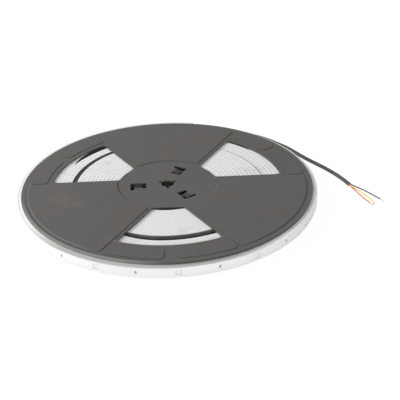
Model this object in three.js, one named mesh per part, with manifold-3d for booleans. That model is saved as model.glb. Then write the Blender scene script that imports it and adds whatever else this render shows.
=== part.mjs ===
// LED strip light on a plastic reel that lies flat, in millimetres, +Z up.
// The origin is on the reel's axis, in the plane of the lowest faces of the lower flange.
import * as THREE from 'three';
import { mergeVertices } from 'three/addons/utils/BufferGeometryUtils.js';
import Module from 'manifold-3d';

// Flanges
const FLANGE_RADIUS = 145;
const FLANGE_WALL = 1.5;
const PANEL_RISE = 0.6;
const PANEL_ROOT = 0.3;
const RIM_MARGIN = 6.5;
const PANEL_SIDE_INSET = 7;
const PANEL_CORNER = 6;
const WINDOW_MARGIN = 29;
const WINDOW_SIDE_INSET = 10.7;
const WINDOW_OUTER_CORNER = 6;
const WINDOW_INNER_CORNER = 2;
const WINDOW_ANGLES = [30, 150, 270];
const SECTOR = 120;
const RIM_ARC_CLEARANCE = 5.5;
const RIM_ARC_FROM = 2.5;
const RIM_ARC_TO = 26;
const RIM_ARC_CORNER = 5;

// Arbor hole with its three keyways
const ARBOR_RADIUS = 6.5;
const KEY_WIDTH = 2.4;
const KEY_REACH = 10;

// Snap tongues, in a frame with u outward and v counter-clockwise
const SNAP_ANGLES = [60, 180, 300];
const SLOT_U_INNER = 21.4;
const SLOT_U_OUTER = 37;
const SLOT_V_FAR = -2.8;
const SLOT_LEG = 3.8;
const INNER_LEG_END = 8;
const OUTER_LEG_END = 11.2;
const TONGUE_TIP_V = 0.8;
const TONGUE_BEND_V = 9;
const TONGUE_DROP = 1.9;
const TONGUE_TIP_WALL = 1.2;

// Hub
const HUB_RADIUS = 50;
const HUB_WALL = 2;
const BOSS_RADIUS = 13;
const SNAP_CLEARANCE = 0.3;
const SPOKE_BACK_CLEARANCE = 0.4;
const HOOK_END_CLEARANCE = 0.8;
const HOOK_BELOW_FACE = 0.7;
const HOOK_HEAD = 0.6;
const HOOK_OVERHANG = 1.3;

// Strip and its winding
const STRIP_WIDTH = 10;
const STRIP_THICKNESS = 3.3;
const TURN_PITCH = 4;
const SEAT_GAP = 0.3;
const START_ANGLE = 325;
const WINDING_STEP = 9;
const INNER_TURNS = 11;
const LEAD_ARC = 225;
const OUTER_TURNS = 13;
const OUTER_EXTRA = 18;

// The first turn lies on the hub, climbs over its own start, and eases into an even spiral
const CLIMB_FROM = 0.86;
const CLIMB_TO = 0.965;
const EASING_TURNS = 8;

// Slack between two turns at the rear left, where the turns beside it are pressed together
const SLACK_SHARE = 0.14;
const SLACK_AFTER_TURN = 3;
const SLACK_RISE_FROM = 170;
const SLACK_RISE_TO = 192;
const SLACK_FALL_FROM = 240;
const SLACK_FALL_TO = 267;

// The roll isn't round: it swells at the front, sinks at the left, and leaves room for the lead.
// Each span has the angles where that starts, is full, is no longer full, and ends.
const FRONT_SWELL = 2.4;
const FRONT_SWELL_SPAN = [238, 265, 298, 340];
const LEFT_SINK = 3;
const LEFT_SINK_SPAN = [115, 175, 190, 230];
const LEAD_ROOM = 4;
const LEAD_ROOM_SPAN = [222, 260, 298, 340];

// End caps of the strips
const CAP_LENGTH = 10.4;
const CAP_EXTRA = 0.1;

// Light packages and chip resistors in the outer face
const LIGHT_PITCH = 75.2;
const FIRST_LIGHT_ANGLE = 102.4;
const LIGHT_COUNT = 12;
const LIGHT_SIZE = 5;
const LIGHT_DEPTH = 1.4;
const RESISTOR_WIDTH = 1.6;
const RESISTOR_HEIGHT = 3.2;
const RESISTOR_DEPTH = 0.6;
const POCKET_CLEARANCE = 0.3;
const FACE_SINK = 0.25;

// Leads
const LEAD_DIAMETER = 3.8;
const LEAD_SIDES = 8;
const CORE_DIAMETER = 1.2;
const TIP_DIAMETER = 0.8;
const JOINT_GAP = 0.3;
const INNER_LEAD_HEIGHT = 10.5;
const INNER_LEAD_GAP = 0.2;
const INNER_LEAD_END_ANGLE = 122;
const INNER_CORE_END_ANGLE = 111.5;
const INNER_TIP_END_ANGLE = 108;
const BOOT_RADIUS = 2.5;
const BOOT_END_RADIUS = 2.1;
const CORE_ORBIT = 0.85;

// Free route of the outer lead, from the boot round the roll to the jacket's end
const OUTER_LEAD_ROUTE = [
  [46.8, 144.0, 7.4],
  [57.8, 139.8, 7.5],
  [68.6, 135.0, 7.7],
  [79.0, 129.2, 8.0],
  [88.8, 122.7, 8.4],
  [98.1, 115.4, 8.8],
  [106.8, 107.5, 9.3],
  [114.9, 98.8, 9.7],
  [122.2, 89.5, 10.0],
  [129.5, 80.2, 10.2],
  [136.3, 70.5, 9.9],
  [142.8, 60.7, 9.3],
  [150.0, 51.4, 8.4],
  [158.0, 42.7, 7.2],
  [166.1, 34.2, 5.8],
  [173.6, 25.2, 4.3],
  [180.0, 15.4, 3.0],
  [185.2, 4.8, 2.1],
];

// Routes of the three cores, from the jacket's end to the tinned tips
const BLACK_CORE_ROUTE = [
  [186.0, 4.9, 2.5],
  [188.1, 3.0, 2.1],
  [190.2, 1.2, 1.7],
  [192.4, -0.6, 1.3],
  [194.4, -2.6, 1.1],
  [196.4, -4.6, 0.9],
  [198.3, -6.7, 0.8],
  [200.0, -9.0, 0.7],
  [201.6, -11.3, 0.7],
  [203.1, -13.7, 0.7],
  [204.6, -16.1, 0.7],
  [206.1, -18.5, 0.7],
  [207.6, -21.0, 0.7],
  [209.1, -23.4, 0.7],
  [210.6, -25.8, 0.7],
];
const BLACK_TIP_ROUTE = [
  [210.8, -25.9, 0.7],
  [211.9, -28.8, 0.6],
  [212.6, -32.1, 0.5],
];
const YELLOW_CORE_ROUTE = [
  [185.4, 4.5, 1.2],
  [186.9, 2.2, 1.0],
  [188.5, -0.2, 0.9],
  [190.1, -2.4, 0.8],
  [191.6, -4.8, 0.7],
  [193.0, -7.2, 0.7],
  [194.3, -9.7, 0.7],
  [195.5, -12.2, 0.7],
  [196.7, -14.7, 0.7],
  [197.8, -17.3, 0.7],
  [198.9, -19.9, 0.7],
  [199.9, -22.5, 0.7],
  [200.7, -25.1, 0.7],
  [201.5, -27.8, 0.7],
  [202.3, -30.5, 0.7],
];
const YELLOW_TIP_ROUTE = [
  [202.4, -30.9, 0.7],
  [202.3, -33.2, 0.6],
  [201.6, -35.8, 0.5],
];
const RED_CORE_ROUTE = [
  [184.7, 4.2, 2.5],
  [185.7, 1.6, 2.1],
  [186.7, -0.9, 1.7],
  [187.8, -3.5, 1.4],
  [188.9, -6.0, 1.1],
  [189.9, -8.6, 0.9],
  [190.8, -11.2, 0.8],
  [191.8, -13.8, 0.7],
  [192.6, -16.5, 0.7],
  [193.4, -19.1, 0.7],
  [194.2, -21.8, 0.7],
  [195.2, -24.4, 0.7],
  [196.3, -26.9, 0.7],
  [197.5, -29.5, 0.7],
  [198.6, -32.0, 0.7],
];
const RED_TIP_ROUTE = [
  [198.8, -32.3, 0.7],
  [199.5, -34.6, 0.6],
  [199.9, -37.2, 0.5],
];

// How finely arcs and tubes are divided: steps in degrees, corners in parts, tubes in diameters
const FLANGE_ARC_STEP = 5;
const HUB_ARC_STEP = 6;
const BORE_ARC_STEP = 12;
const CAP_ARC_STEP = 3;
const CORNER_PARTS = 3;
const BOOT_SIDES = 12;
const TUBE_STEP = 2.5;
const LEAD_POINT_STEP = 6;
const CORE_POINT_STEP = 2;

// The windows stay inside the rim, and the raised arcs lie between the windows and the rim's margin
const WINDOW_RADIUS = FLANGE_RADIUS - WINDOW_MARGIN;
const PANEL_RADIUS = FLANGE_RADIUS - RIM_MARGIN;
const RIM_ARC_RADIUS = WINDOW_RADIUS + RIM_ARC_CLEARANCE;

// Heights that follow from the sizes above
const LOWER_FACE_Z = PANEL_RISE;
const STRIP_BOTTOM_Z = LOWER_FACE_Z + FLANGE_WALL + SEAT_GAP;
const STRIP_TOP_Z = STRIP_BOTTOM_Z + STRIP_WIDTH;
const UPPER_FACE_Z = STRIP_TOP_Z + SEAT_GAP + FLANGE_WALL;
const MIDDLE_Z = (LOWER_FACE_Z + UPPER_FACE_Z) / 2;

// Positions along the winding, in degrees wound since the start
const INNER_END = INNER_TURNS * 360;
const OUTER_START = INNER_END + LEAD_ARC;
const OUTER_END = OUTER_START + OUTER_TURNS * 360 + OUTER_EXTRA;

const PLASTIC = { color: 0x666561, roughness: 0.5, metalness: 0 };
const SILICONE = { color: 0xe6e7ea, roughness: 0.4, metalness: 0 };
const JACKET = { color: 0x3c403c, roughness: 0.5, metalness: 0 };
const LIGHT = { color: 0xf6f2da, roughness: 0.3, metalness: 0 };
const RESISTOR = { color: 0x4a4c50, roughness: 0.4, metalness: 0 };
const TIN = { color: 0xc9cacc, roughness: 0.3, metalness: 0.9 };
const CORE_COLOURS = { black: 0x2c2e2c, yellow: 0xe8c32c, red: 0xd8452e };

const wasm = await Module();
wasm.setup();

const model = new THREE.Group();

function radians(degrees) {
  return THREE.MathUtils.degToRad(degrees);
}

function degrees(angle) {
  return THREE.MathUtils.radToDeg(angle);
}

function modulo360(angle) {
  return THREE.MathUtils.euclideanModulo(angle, 360);
}

function polar(radius, angle) {
  return new THREE.Vector2(radius * Math.cos(radians(angle)), radius * Math.sin(radians(angle)));
}

function addMesh(name, geometry, finish) {
  const mesh = new THREE.Mesh(geometry, new THREE.MeshStandardMaterial(finish));
  mesh.name = name;
  model.add(mesh);
  return mesh;
}

// Solids are joined and cut through closed meshes with shared corners

function toSolid(geometry) {
  const bare = geometry.clone();
  bare.deleteAttribute('normal');
  bare.deleteAttribute('uv');
  const merged = mergeVertices(bare, 1e-4);
  const mesh = new wasm.Mesh({
    numProp: 3,
    vertProperties: new Float32Array(merged.attributes.position.array),
    triVerts: new Uint32Array(merged.index.array),
  });
  return new wasm.Manifold(mesh);
}

function toGeometry(solid) {
  const mesh = solid.getMesh();
  const geometry = new THREE.BufferGeometry();
  geometry.setAttribute('position', new THREE.BufferAttribute(mesh.vertProperties, 3));
  geometry.setIndex(new THREE.BufferAttribute(mesh.triVerts, 1));
  geometry.computeVertexNormals();
  return geometry;
}

function joined(geometries) {
  return geometries.map(toSolid).reduce((all, next) => all.add(next));
}

function extruded(shape, bottom, top) {
  const settings = { depth: top - bottom, bevelEnabled: false };
  return new THREE.ExtrudeGeometry(shape, settings).translate(0, 0, bottom);
}

// Plane outlines

function arcPoints(radius, from, to, step) {
  const count = Math.max(1, Math.round(Math.abs(to - from) / step));
  const points = [];
  for (let i = 0; i <= count; i += 1) {
    points.push(polar(radius, from + ((to - from) * i) / count));
  }
  return points;
}

function circle(radius, step) {
  return arcPoints(radius, 0, 360, step).slice(0, -1);
}

function cornerPoints(from, corner, to, count) {
  return new THREE.QuadraticBezierCurve(from, corner, to).getPoints(count);
}

// Angle of a line that runs beside the radial line at an angle, at a radius
function sideAngle(lineAngle, inset, radius) {
  return lineAngle - degrees(Math.asin(inset / radius));
}

// Outline between two arcs and two sides that lie at +- sideAngle, with rounded corners
function sectorOutline(innerRadius, outerRadius, sideAt, innerCorner, outerCorner) {
  const outerCut = degrees(outerCorner / outerRadius);
  const innerCut = degrees(innerCorner / innerRadius);
  const outerSide = sideAt(outerRadius);
  const innerSide = sideAt(innerRadius);
  const outerBelow = outerRadius - outerCorner;
  const innerAbove = innerRadius + innerCorner;
  const corner = (radius, side, cut, nextRadius, turn) => cornerPoints(
    polar(radius, turn * (side - cut)),
    polar(radius, turn * side),
    polar(nextRadius, turn * sideAt(nextRadius)),
    CORNER_PARTS,
  );
  const innerEnd = cutEnd(innerSide, innerCut);
  const hubArc = arcPoints(innerRadius, innerEnd, -innerEnd, HUB_ARC_STEP);
  return [
    ...arcPoints(outerRadius, cutEnd(-outerSide, outerCut), cutEnd(outerSide, outerCut), FLANGE_ARC_STEP),
    ...corner(outerRadius, outerSide, outerCut, outerBelow, 1).slice(1),
    ...corner(innerRadius, innerSide, innerCut, innerAbove, 1).reverse(),
    ...hubArc.slice(1),
    ...corner(innerRadius, innerSide, innerCut, innerAbove, -1).slice(1),
    ...corner(outerRadius, outerSide, outerCut, outerBelow, -1).reverse().slice(0, -1),
  ];
}

function cutEnd(side, cut) {
  return side - Math.sign(side) * cut;
}

function turned(points, angle) {
  return points.map((point) => point.clone().rotateAround(new THREE.Vector2(0, 0), radians(angle)));
}

function arborOutline() {
  const halfKey = KEY_WIDTH / 2;
  const keyFoot = degrees(Math.asin(halfKey / ARBOR_RADIUS));
  const keyEnd = degrees(Math.asin(halfKey / KEY_REACH));
  return WINDOW_ANGLES.flatMap((angle) => [
    polar(KEY_REACH, angle - keyEnd),
    polar(KEY_REACH, angle + keyEnd),
    ...arcPoints(ARBOR_RADIUS, angle + keyFoot, angle + SECTOR - keyFoot, BORE_ARC_STEP),
  ]);
}

// Flanges: one moulding with windows, raised panels and three snap tongues

function windowOutline() {
  const sideAt = (radius) => sideAngle(SECTOR / 4, WINDOW_SIDE_INSET, radius);
  return sectorOutline(HUB_RADIUS, WINDOW_RADIUS, sideAt, WINDOW_INNER_CORNER, WINDOW_OUTER_CORNER);
}

function panelOutline() {
  const sideAt = (radius) => sideAngle(SECTOR / 4, -PANEL_SIDE_INSET, radius);
  return sectorOutline(HUB_RADIUS, PANEL_RADIUS, sideAt, WINDOW_INNER_CORNER, PANEL_CORNER);
}

function rimArcOutline() {
  const halfSpan = (RIM_ARC_TO - RIM_ARC_FROM) / 2;
  return sectorOutline(
    RIM_ARC_RADIUS,
    PANEL_RADIUS,
    () => halfSpan,
    RIM_ARC_CORNER,
    RIM_ARC_CORNER,
  );
}

function slotOutline(angle) {
  const tongueInner = SLOT_U_INNER + SLOT_LEG;
  const tongueOuter = SLOT_U_OUTER - SLOT_LEG;
  const corners = [
    [SLOT_U_INNER, SLOT_V_FAR],
    [SLOT_U_OUTER, SLOT_V_FAR],
    [SLOT_U_OUTER, OUTER_LEG_END],
    [tongueOuter, OUTER_LEG_END],
    [tongueInner, INNER_LEG_END],
    [SLOT_U_INNER, INNER_LEG_END],
  ];
  return turned(corners.map(([u, v]) => new THREE.Vector2(u, v)), angle);
}

// A profile of v and z, drawn out along u and turned to its angle
function profileAlongRadius(profile, fromU, toU, angle) {
  const shape = new THREE.Shape(profile.map(([v, z]) => new THREE.Vector2(v, z)));
  const geometry = extruded(shape, fromU, toU);
  const axes = new THREE.Matrix4().set(0, 0, 1, 0, 1, 0, 0, 0, 0, 1, 0, 0, 0, 0, 0, 1);
  return geometry.applyMatrix4(axes).rotateZ(radians(angle));
}

function tongueGeometry(angle) {
  const root = OUTER_LEG_END + SNAP_CLEARANCE;
  const profile = [
    [root, 0],
    [TONGUE_BEND_V, 0],
    [TONGUE_TIP_V, -TONGUE_DROP],
    [TONGUE_TIP_V, -TONGUE_DROP - TONGUE_TIP_WALL],
    [TONGUE_BEND_V, -FLANGE_WALL],
    [root, -FLANGE_WALL],
  ];
  return profileAlongRadius(profile, SLOT_U_INNER + SLOT_LEG, SLOT_U_OUTER - SLOT_LEG, angle);
}

// The flange's outer face lies at z = 0 here, and its raised panels stand on it
function flangeGeometry() {
  const base = new THREE.Shape(circle(FLANGE_RADIUS, FLANGE_ARC_STEP));
  base.holes.push(new THREE.Path(arborOutline()));
  for (const angle of WINDOW_ANGLES) {
    base.holes.push(new THREE.Path(turned(windowOutline(), angle)));
  }
  for (const angle of SNAP_ANGLES) {
    base.holes.push(new THREE.Path(slotOutline(angle)));
  }
  const pieces = [extruded(base, -FLANGE_WALL, 0)];
  for (const angle of SNAP_ANGLES) {
    pieces.push(tongueGeometry(angle));
  }
  for (const angle of WINDOW_ANGLES) {
    const panel = new THREE.Shape(turned(panelOutline(), angle + SECTOR / 2));
    pieces.push(extruded(panel, -PANEL_ROOT, PANEL_RISE));
    for (const side of [-1, 1]) {
      const middle = angle + (side * (RIM_ARC_FROM + RIM_ARC_TO)) / 2;
      const arc = new THREE.Shape(turned(rimArcOutline(), middle));
      pieces.push(extruded(arc, -PANEL_ROOT, PANEL_RISE));
    }
  }
  return toGeometry(joined(pieces));
}

function addFlanges() {
  addMesh('upper_flange', flangeGeometry(), PLASTIC).position.z = UPPER_FACE_Z;
  const lower = addMesh('lower_flange', flangeGeometry(), PLASTIC);
  lower.position.z = LOWER_FACE_Z;
  lower.rotation.y = Math.PI;
}

// Hub: a ring, a keyed boss and six spokes, three of them hooked into each flange

function hookedSpokes(angle) {
  const back = SLOT_V_FAR + SPOKE_BACK_CLEARANCE;
  const front = TONGUE_TIP_V - SNAP_CLEARANCE;
  const height = STRIP_WIDTH / 2;
  const hookTop = UPPER_FACE_Z - MIDDLE_Z - HOOK_BELOW_FACE;
  const hookFoot = height - SNAP_CLEARANCE;
  const spoke = [[back, -height], [front, -height], [front, height], [back, height]];
  const hook = [
    [back, hookFoot],
    [front, hookFoot],
    [front, hookTop - HOOK_HEAD],
    [front + HOOK_OVERHANG, hookTop - HOOK_HEAD],
    [front + HOOK_OVERHANG, hookTop - HOOK_HEAD / 2],
    [front + HOOK_OVERHANG / 2, hookTop],
    [back, hookTop],
  ];
  const hookInner = SLOT_U_INNER + SLOT_LEG + HOOK_END_CLEARANCE;
  const hookOuter = SLOT_U_OUTER - SLOT_LEG - HOOK_END_CLEARANCE;
  return [
    profileAlongRadius(spoke, BOSS_RADIUS - 1, HUB_RADIUS - HUB_WALL / 2, angle),
    profileAlongRadius(hook, hookInner, hookOuter, angle),
  ];
}

function addHub() {
  const half = STRIP_WIDTH / 2;
  const ring = new THREE.Shape(circle(HUB_RADIUS, HUB_ARC_STEP));
  ring.holes.push(new THREE.Path(circle(HUB_RADIUS - HUB_WALL, HUB_ARC_STEP)));
  const boss = new THREE.Shape(circle(BOSS_RADIUS, BORE_ARC_STEP));
  boss.holes.push(new THREE.Path(arborOutline()));
  const pieces = [extruded(ring, -half, half), extruded(boss, -half, half)];
  for (const angle of SNAP_ANGLES) {
    pieces.push(...hookedSpokes(angle));
    pieces.push(...hookedSpokes(angle).map((geometry) => geometry.rotateY(Math.PI)));
  }
  addMesh('hub_core', toGeometry(joined(pieces)), PLASTIC).position.z = MIDDLE_Z;
}

// Winding: the strip runs clockwise seen from above and grows outward

function windingAngle(wound) {
  return START_ANGLE - wound;
}

function smooth(from, to, value) {
  return THREE.MathUtils.smoothstep(value, from, to);
}

function slackShift(wound) {
  if (wound < OUTER_START) {
    return 0;
  }
  const within = wound % 360;
  const rise = smooth(SLACK_RISE_FROM, SLACK_RISE_TO, within);
  const fall = smooth(SLACK_FALL_FROM, SLACK_FALL_TO, within);
  const turn = Math.floor(wound / 360) - INNER_TURNS;
  const squeezed = turn <= SLACK_AFTER_TURN ? Math.min(0, 1 - turn) : OUTER_TURNS - turn;
  return squeezed * TURN_PITCH * SLACK_SHARE * rise * (1 - fall);
}

function spanShare([from, full, fullEnd, end], angle) {
  return smooth(from, full, angle) * (1 - smooth(fullEnd, end, angle));
}

// The roll's unround shape grows with the turns up to the lead, and fades out beyond it
function spreadShift(wound) {
  const angle = modulo360(windingAngle(wound));
  const swell = FRONT_SWELL * spanShare(FRONT_SWELL_SPAN, angle);
  const sink = LEFT_SINK * spanShare(LEFT_SINK_SPAN, angle);
  if (wound <= INNER_END) {
    return ((swell - sink) * wound) / INNER_END;
  }
  const room = LEAD_ROOM * spanShare(LEAD_ROOM_SPAN, angle);
  const outward = Math.min(1, (OUTER_END - wound) / (OUTER_END - OUTER_START));
  return (swell - sink + room) * outward;
}

// Turns below a place on the winding, counted in pitches
function turnsBelow(wound) {
  const whole = Math.floor(wound / 360);
  const share = wound / 360 - whole;
  const seated = smooth(CLIMB_FROM, CLIMB_TO, share);
  const easing = Math.min(1, wound / (EASING_TURNS * 360));
  return whole + seated + (share - seated) * easing;
}

function innerFaceRadius(wound) {
  const evenly = HUB_RADIUS + SEAT_GAP + TURN_PITCH * turnsBelow(wound);
  return evenly + slackShift(wound) + spreadShift(wound);
}

function outerFaceRadius(wound) {
  return innerFaceRadius(wound) + STRIP_THICKNESS;
}

function rollSolid(from, to) {
  const steps = Math.round((to - from) / WINDING_STEP);
  const inner = [];
  const outer = [];
  for (let i = 0; i <= steps; i += 1) {
    const wound = from + i * WINDING_STEP;
    inner.push(polar(innerFaceRadius(wound), windingAngle(wound)));
    outer.push(polar(outerFaceRadius(wound), windingAngle(wound)));
  }
  const shape = new THREE.Shape([...inner, ...outer.reverse()]);
  return toSolid(extruded(shape, STRIP_BOTTOM_Z, STRIP_TOP_Z));
}

// A block in the outer face, square to the radius, with its outer side at a radius
function faceBlock(wound, width, height, depth) {
  const box = new THREE.BoxGeometry(depth, width, height);
  const middle = outerFaceRadius(wound) - FACE_SINK - depth / 2;
  return box.translate(middle, 0, MIDDLE_Z).rotateZ(radians(windingAngle(wound)));
}

// The cut reaches out past the face, so that no skin is left over the block
function facePocket(wound, width, height, depth) {
  const clearance = POCKET_CLEARANCE;
  const size = depth + clearance + STRIP_THICKNESS;
  const box = new THREE.BoxGeometry(size, width + 2 * clearance, height + 2 * clearance);
  const middle = outerFaceRadius(wound) - FACE_SINK + STRIP_THICKNESS - size / 2;
  return box.translate(middle, 0, MIDDLE_Z).rotateZ(radians(windingAngle(wound)));
}

function addStrips() {
  addMesh('inner_strip_roll', toGeometry(rollSolid(0, INNER_END)), SILICONE);
  let roll = rollSolid(OUTER_START, OUTER_END);
  const firstWound = OUTER_END - modulo360(FIRST_LIGHT_ANGLE - windingAngle(OUTER_END));
  for (let i = 0; i < LIGHT_COUNT; i += 1) {
    const step = degrees(LIGHT_PITCH / outerFaceRadius(firstWound));
    const light = firstWound - i * step;
    const resistor = light - step / 2;
    const tag = String(i + 1).padStart(2, '0');
    roll = roll.subtract(toSolid(facePocket(light, LIGHT_SIZE, LIGHT_SIZE, LIGHT_DEPTH)));
    roll = roll.subtract(toSolid(facePocket(resistor, RESISTOR_WIDTH, RESISTOR_HEIGHT, RESISTOR_DEPTH)));
    addMesh(`light_package_${tag}`, faceBlock(light, LIGHT_SIZE, LIGHT_SIZE, LIGHT_DEPTH), LIGHT);
    addMesh(
      `chip_resistor_${tag}`,
      faceBlock(resistor, RESISTOR_WIDTH, RESISTOR_HEIGHT, RESISTOR_DEPTH),
      RESISTOR,
    );
  }
  addMesh('outer_strip_roll', toGeometry(roll), SILICONE);
}

// End caps: a sleeve's closed end, bent to the turn that it ends

function addCap(name, endWound, direction) {
  const innerRadius = innerFaceRadius(endWound);
  const outerRadius = outerFaceRadius(endWound) + CAP_EXTRA;
  const gap = degrees(JOINT_GAP / innerRadius);
  const span = degrees(CAP_LENGTH / innerRadius);
  const from = windingAngle(endWound) - direction * gap;
  const to = from - direction * span;
  const outline = [
    ...arcPoints(innerRadius, from, to, CAP_ARC_STEP),
    ...arcPoints(outerRadius, to, from, CAP_ARC_STEP),
  ];
  addMesh(name, extruded(new THREE.Shape(outline), STRIP_BOTTOM_Z, STRIP_TOP_Z), SILICONE);
  return modulo360(to);
}

// Leads: round tubes along their routes

function tube(curve, diameter, steps) {
  const section = new THREE.Shape(circle(diameter / 2, 360 / LEAD_SIDES));
  return new THREE.ExtrudeGeometry(section, { extrudePath: curve, steps });
}

function routeCurve(points) {
  const places = points.map(([x, y, z]) => new THREE.Vector3(x, y, z));
  return new THREE.CatmullRomCurve3(places, false, 'centripetal');
}

function addTube(name, points, diameter, finish) {
  const curve = routeCurve(points);
  const steps = Math.max(2, Math.round(curve.getLength() / (TUBE_STEP * diameter)));
  addMesh(name, tube(curve, diameter, steps), finish);
}

function coreFinish(colour) {
  return { color: CORE_COLOURS[colour], roughness: 0.45, metalness: 0 };
}

// The inner lead lies in the channel between the two rolls, against the inner strip's last turn
function channelPoints(fromAngle, toAngle, offset, lift, step) {
  const count = Math.max(2, Math.round((fromAngle - toAngle) / step));
  const points = [];
  for (let i = 0; i <= count; i += 1) {
    const angle = fromAngle + ((toAngle - fromAngle) * i) / count;
    const turnBelow = INNER_END - 360 + START_ANGLE - angle;
    const middle = outerFaceRadius(turnBelow) + INNER_LEAD_GAP + LEAD_DIAMETER / 2;
    const place = polar(middle + offset, angle);
    points.push([place.x, place.y, INNER_LEAD_HEIGHT + lift]);
  }
  return points;
}

function addInnerLead(capEndAngle) {
  const radius = HUB_RADIUS + (TURN_PITCH * INNER_END) / 360;
  const gap = degrees(JOINT_GAP / radius);
  const start = capEndAngle - gap;
  const jacket = channelPoints(start, INNER_LEAD_END_ANGLE, 0, 0, LEAD_POINT_STEP);
  addTube('inner_lead_jacket', jacket, LEAD_DIAMETER, JACKET);
  const coreStart = INNER_LEAD_END_ANGLE - gap;
  const tipStart = INNER_CORE_END_ANGLE - gap;
  Object.keys(CORE_COLOURS).forEach((colour, index) => {
    const turn = radians(90 + index * SECTOR);
    const offset = CORE_ORBIT * Math.cos(turn);
    const lift = CORE_ORBIT * Math.sin(turn);
    const core = channelPoints(coreStart, INNER_CORE_END_ANGLE, offset, lift, CORE_POINT_STEP);
    const tip = channelPoints(tipStart, INNER_TIP_END_ANGLE, offset, lift, CORE_POINT_STEP);
    addTube(`inner_core_${colour}`, core, CORE_DIAMETER, coreFinish(colour));
    addTube(`inner_tinned_end_${colour}`, tip, TIP_DIAMETER, TIN);
  });
}

function addOuterLead(capEndAngle) {
  const [x, y] = OUTER_LEAD_ROUTE[0];
  const leadStart = new THREE.Vector2(x, y);
  const gap = degrees(JOINT_GAP / leadStart.length());
  const fromAngle = capEndAngle - gap;
  const toAngle = degrees(leadStart.angle()) + gap;
  const middle = polar(leadStart.length(), (fromAngle + toAngle) / 2);
  const length = radians(fromAngle - toAngle) * leadStart.length();
  const boot = new THREE.CylinderGeometry(BOOT_RADIUS, BOOT_END_RADIUS, length, BOOT_SIDES);
  boot.rotateZ(radians((fromAngle + toAngle) / 2));
  addMesh('outer_lead_boot', boot.translate(middle.x, middle.y, MIDDLE_Z), JACKET);
  addTube('outer_lead_jacket', OUTER_LEAD_ROUTE, LEAD_DIAMETER, JACKET);
  addTube('outer_core_black', BLACK_CORE_ROUTE, CORE_DIAMETER, coreFinish('black'));
  addTube('outer_core_yellow', YELLOW_CORE_ROUTE, CORE_DIAMETER, coreFinish('yellow'));
  addTube('outer_core_red', RED_CORE_ROUTE, CORE_DIAMETER, coreFinish('red'));
  addTube('outer_tinned_end_black', BLACK_TIP_ROUTE, TIP_DIAMETER, TIN);
  addTube('outer_tinned_end_yellow', YELLOW_TIP_ROUTE, TIP_DIAMETER, TIN);
  addTube('outer_tinned_end_red', RED_TIP_ROUTE, TIP_DIAMETER, TIN);
}

addFlanges();
addHub();
addStrips();
addCap('inner_strip_start_cap', 0, -1);
const innerLeadCapEnd = addCap('inner_strip_lead_cap', INNER_END, 1);
addCap('outer_strip_start_cap', OUTER_START, -1);
const outerLeadCapEnd = addCap('outer_strip_lead_cap', OUTER_END, 1);
addInnerLead(innerLeadCapEnd);
addOuterLead(outerLeadCapEnd);

export default model;
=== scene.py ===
"""Led strip light on a plastic reel that lies flat.

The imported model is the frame. Finer shapes stand for its solids here, each with a
finish made of shader nodes. Everything is in metres, with the reel's axis on Z and
the surface that the reel lies on at Z = 0.
"""

import logging
import math
from dataclasses import dataclass, field
from enum import Enum
from typing import Callable, Sequence

import bpy
from mathutils import Matrix, Vector


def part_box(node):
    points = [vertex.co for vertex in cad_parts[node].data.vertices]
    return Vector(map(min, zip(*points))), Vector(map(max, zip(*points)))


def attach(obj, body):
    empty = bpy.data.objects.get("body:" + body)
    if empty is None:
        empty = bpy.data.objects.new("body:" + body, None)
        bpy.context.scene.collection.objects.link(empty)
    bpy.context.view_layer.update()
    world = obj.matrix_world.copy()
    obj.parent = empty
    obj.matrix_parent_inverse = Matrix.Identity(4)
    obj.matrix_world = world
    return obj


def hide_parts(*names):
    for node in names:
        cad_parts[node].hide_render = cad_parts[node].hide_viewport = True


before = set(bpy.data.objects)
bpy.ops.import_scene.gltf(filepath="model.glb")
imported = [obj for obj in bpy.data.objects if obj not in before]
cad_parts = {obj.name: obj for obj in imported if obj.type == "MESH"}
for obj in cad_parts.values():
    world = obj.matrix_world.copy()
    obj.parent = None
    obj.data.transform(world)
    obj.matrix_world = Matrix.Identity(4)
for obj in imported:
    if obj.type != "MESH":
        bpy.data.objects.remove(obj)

LOG = logging.getLogger("strip_reel")
MM = 0.001
BODY = "root"

# Heights of the reel's layers, from the surface up
LOWER_FACE_Z = 0.6 * MM
STRIP_BOTTOM_Z = 2.4 * MM
STRIP_TOP_Z = 12.4 * MM
UPPER_FACE_Z = 14.2 * MM
MIDDLE_Z = 7.4 * MM

Point = tuple[float, float]
Place = tuple[float, float, float]
Span = tuple[float, float, float, float]
Oval = tuple[float, float, float, float]


def polar(radius: float, angle: float) -> Vector:
    """Return the plane point at a radius and an angle in degrees."""
    turn = math.radians(angle)
    return Vector((radius * math.cos(turn), radius * math.sin(turn)))


def within(span: Span, angle: float) -> float:
    """Return 1 between a span's middle angles, easing to 0 at its ends."""
    rise, full, full_end, end = span
    return smooth_step(rise, full, angle) * (1 - smooth_step(full_end, end, angle))


def smooth_step(low: float, high: float, value: float) -> float:
    """Ease from 0 at low to 1 at high.

    Args:
        low: Value where the rise starts.
        high: Value where the rise ends.
        value: Value to ease.

    Returns:
        The eased share, from 0 to 1.
    """
    share = min(1.0, max(0.0, (value - low) / (high - low)))
    return share * share * (3 - 2 * share)


# Modelling tools


class Cut(Enum):
    """How one solid acts on another."""

    JOIN = "UNION"
    REMOVE = "DIFFERENCE"


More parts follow.
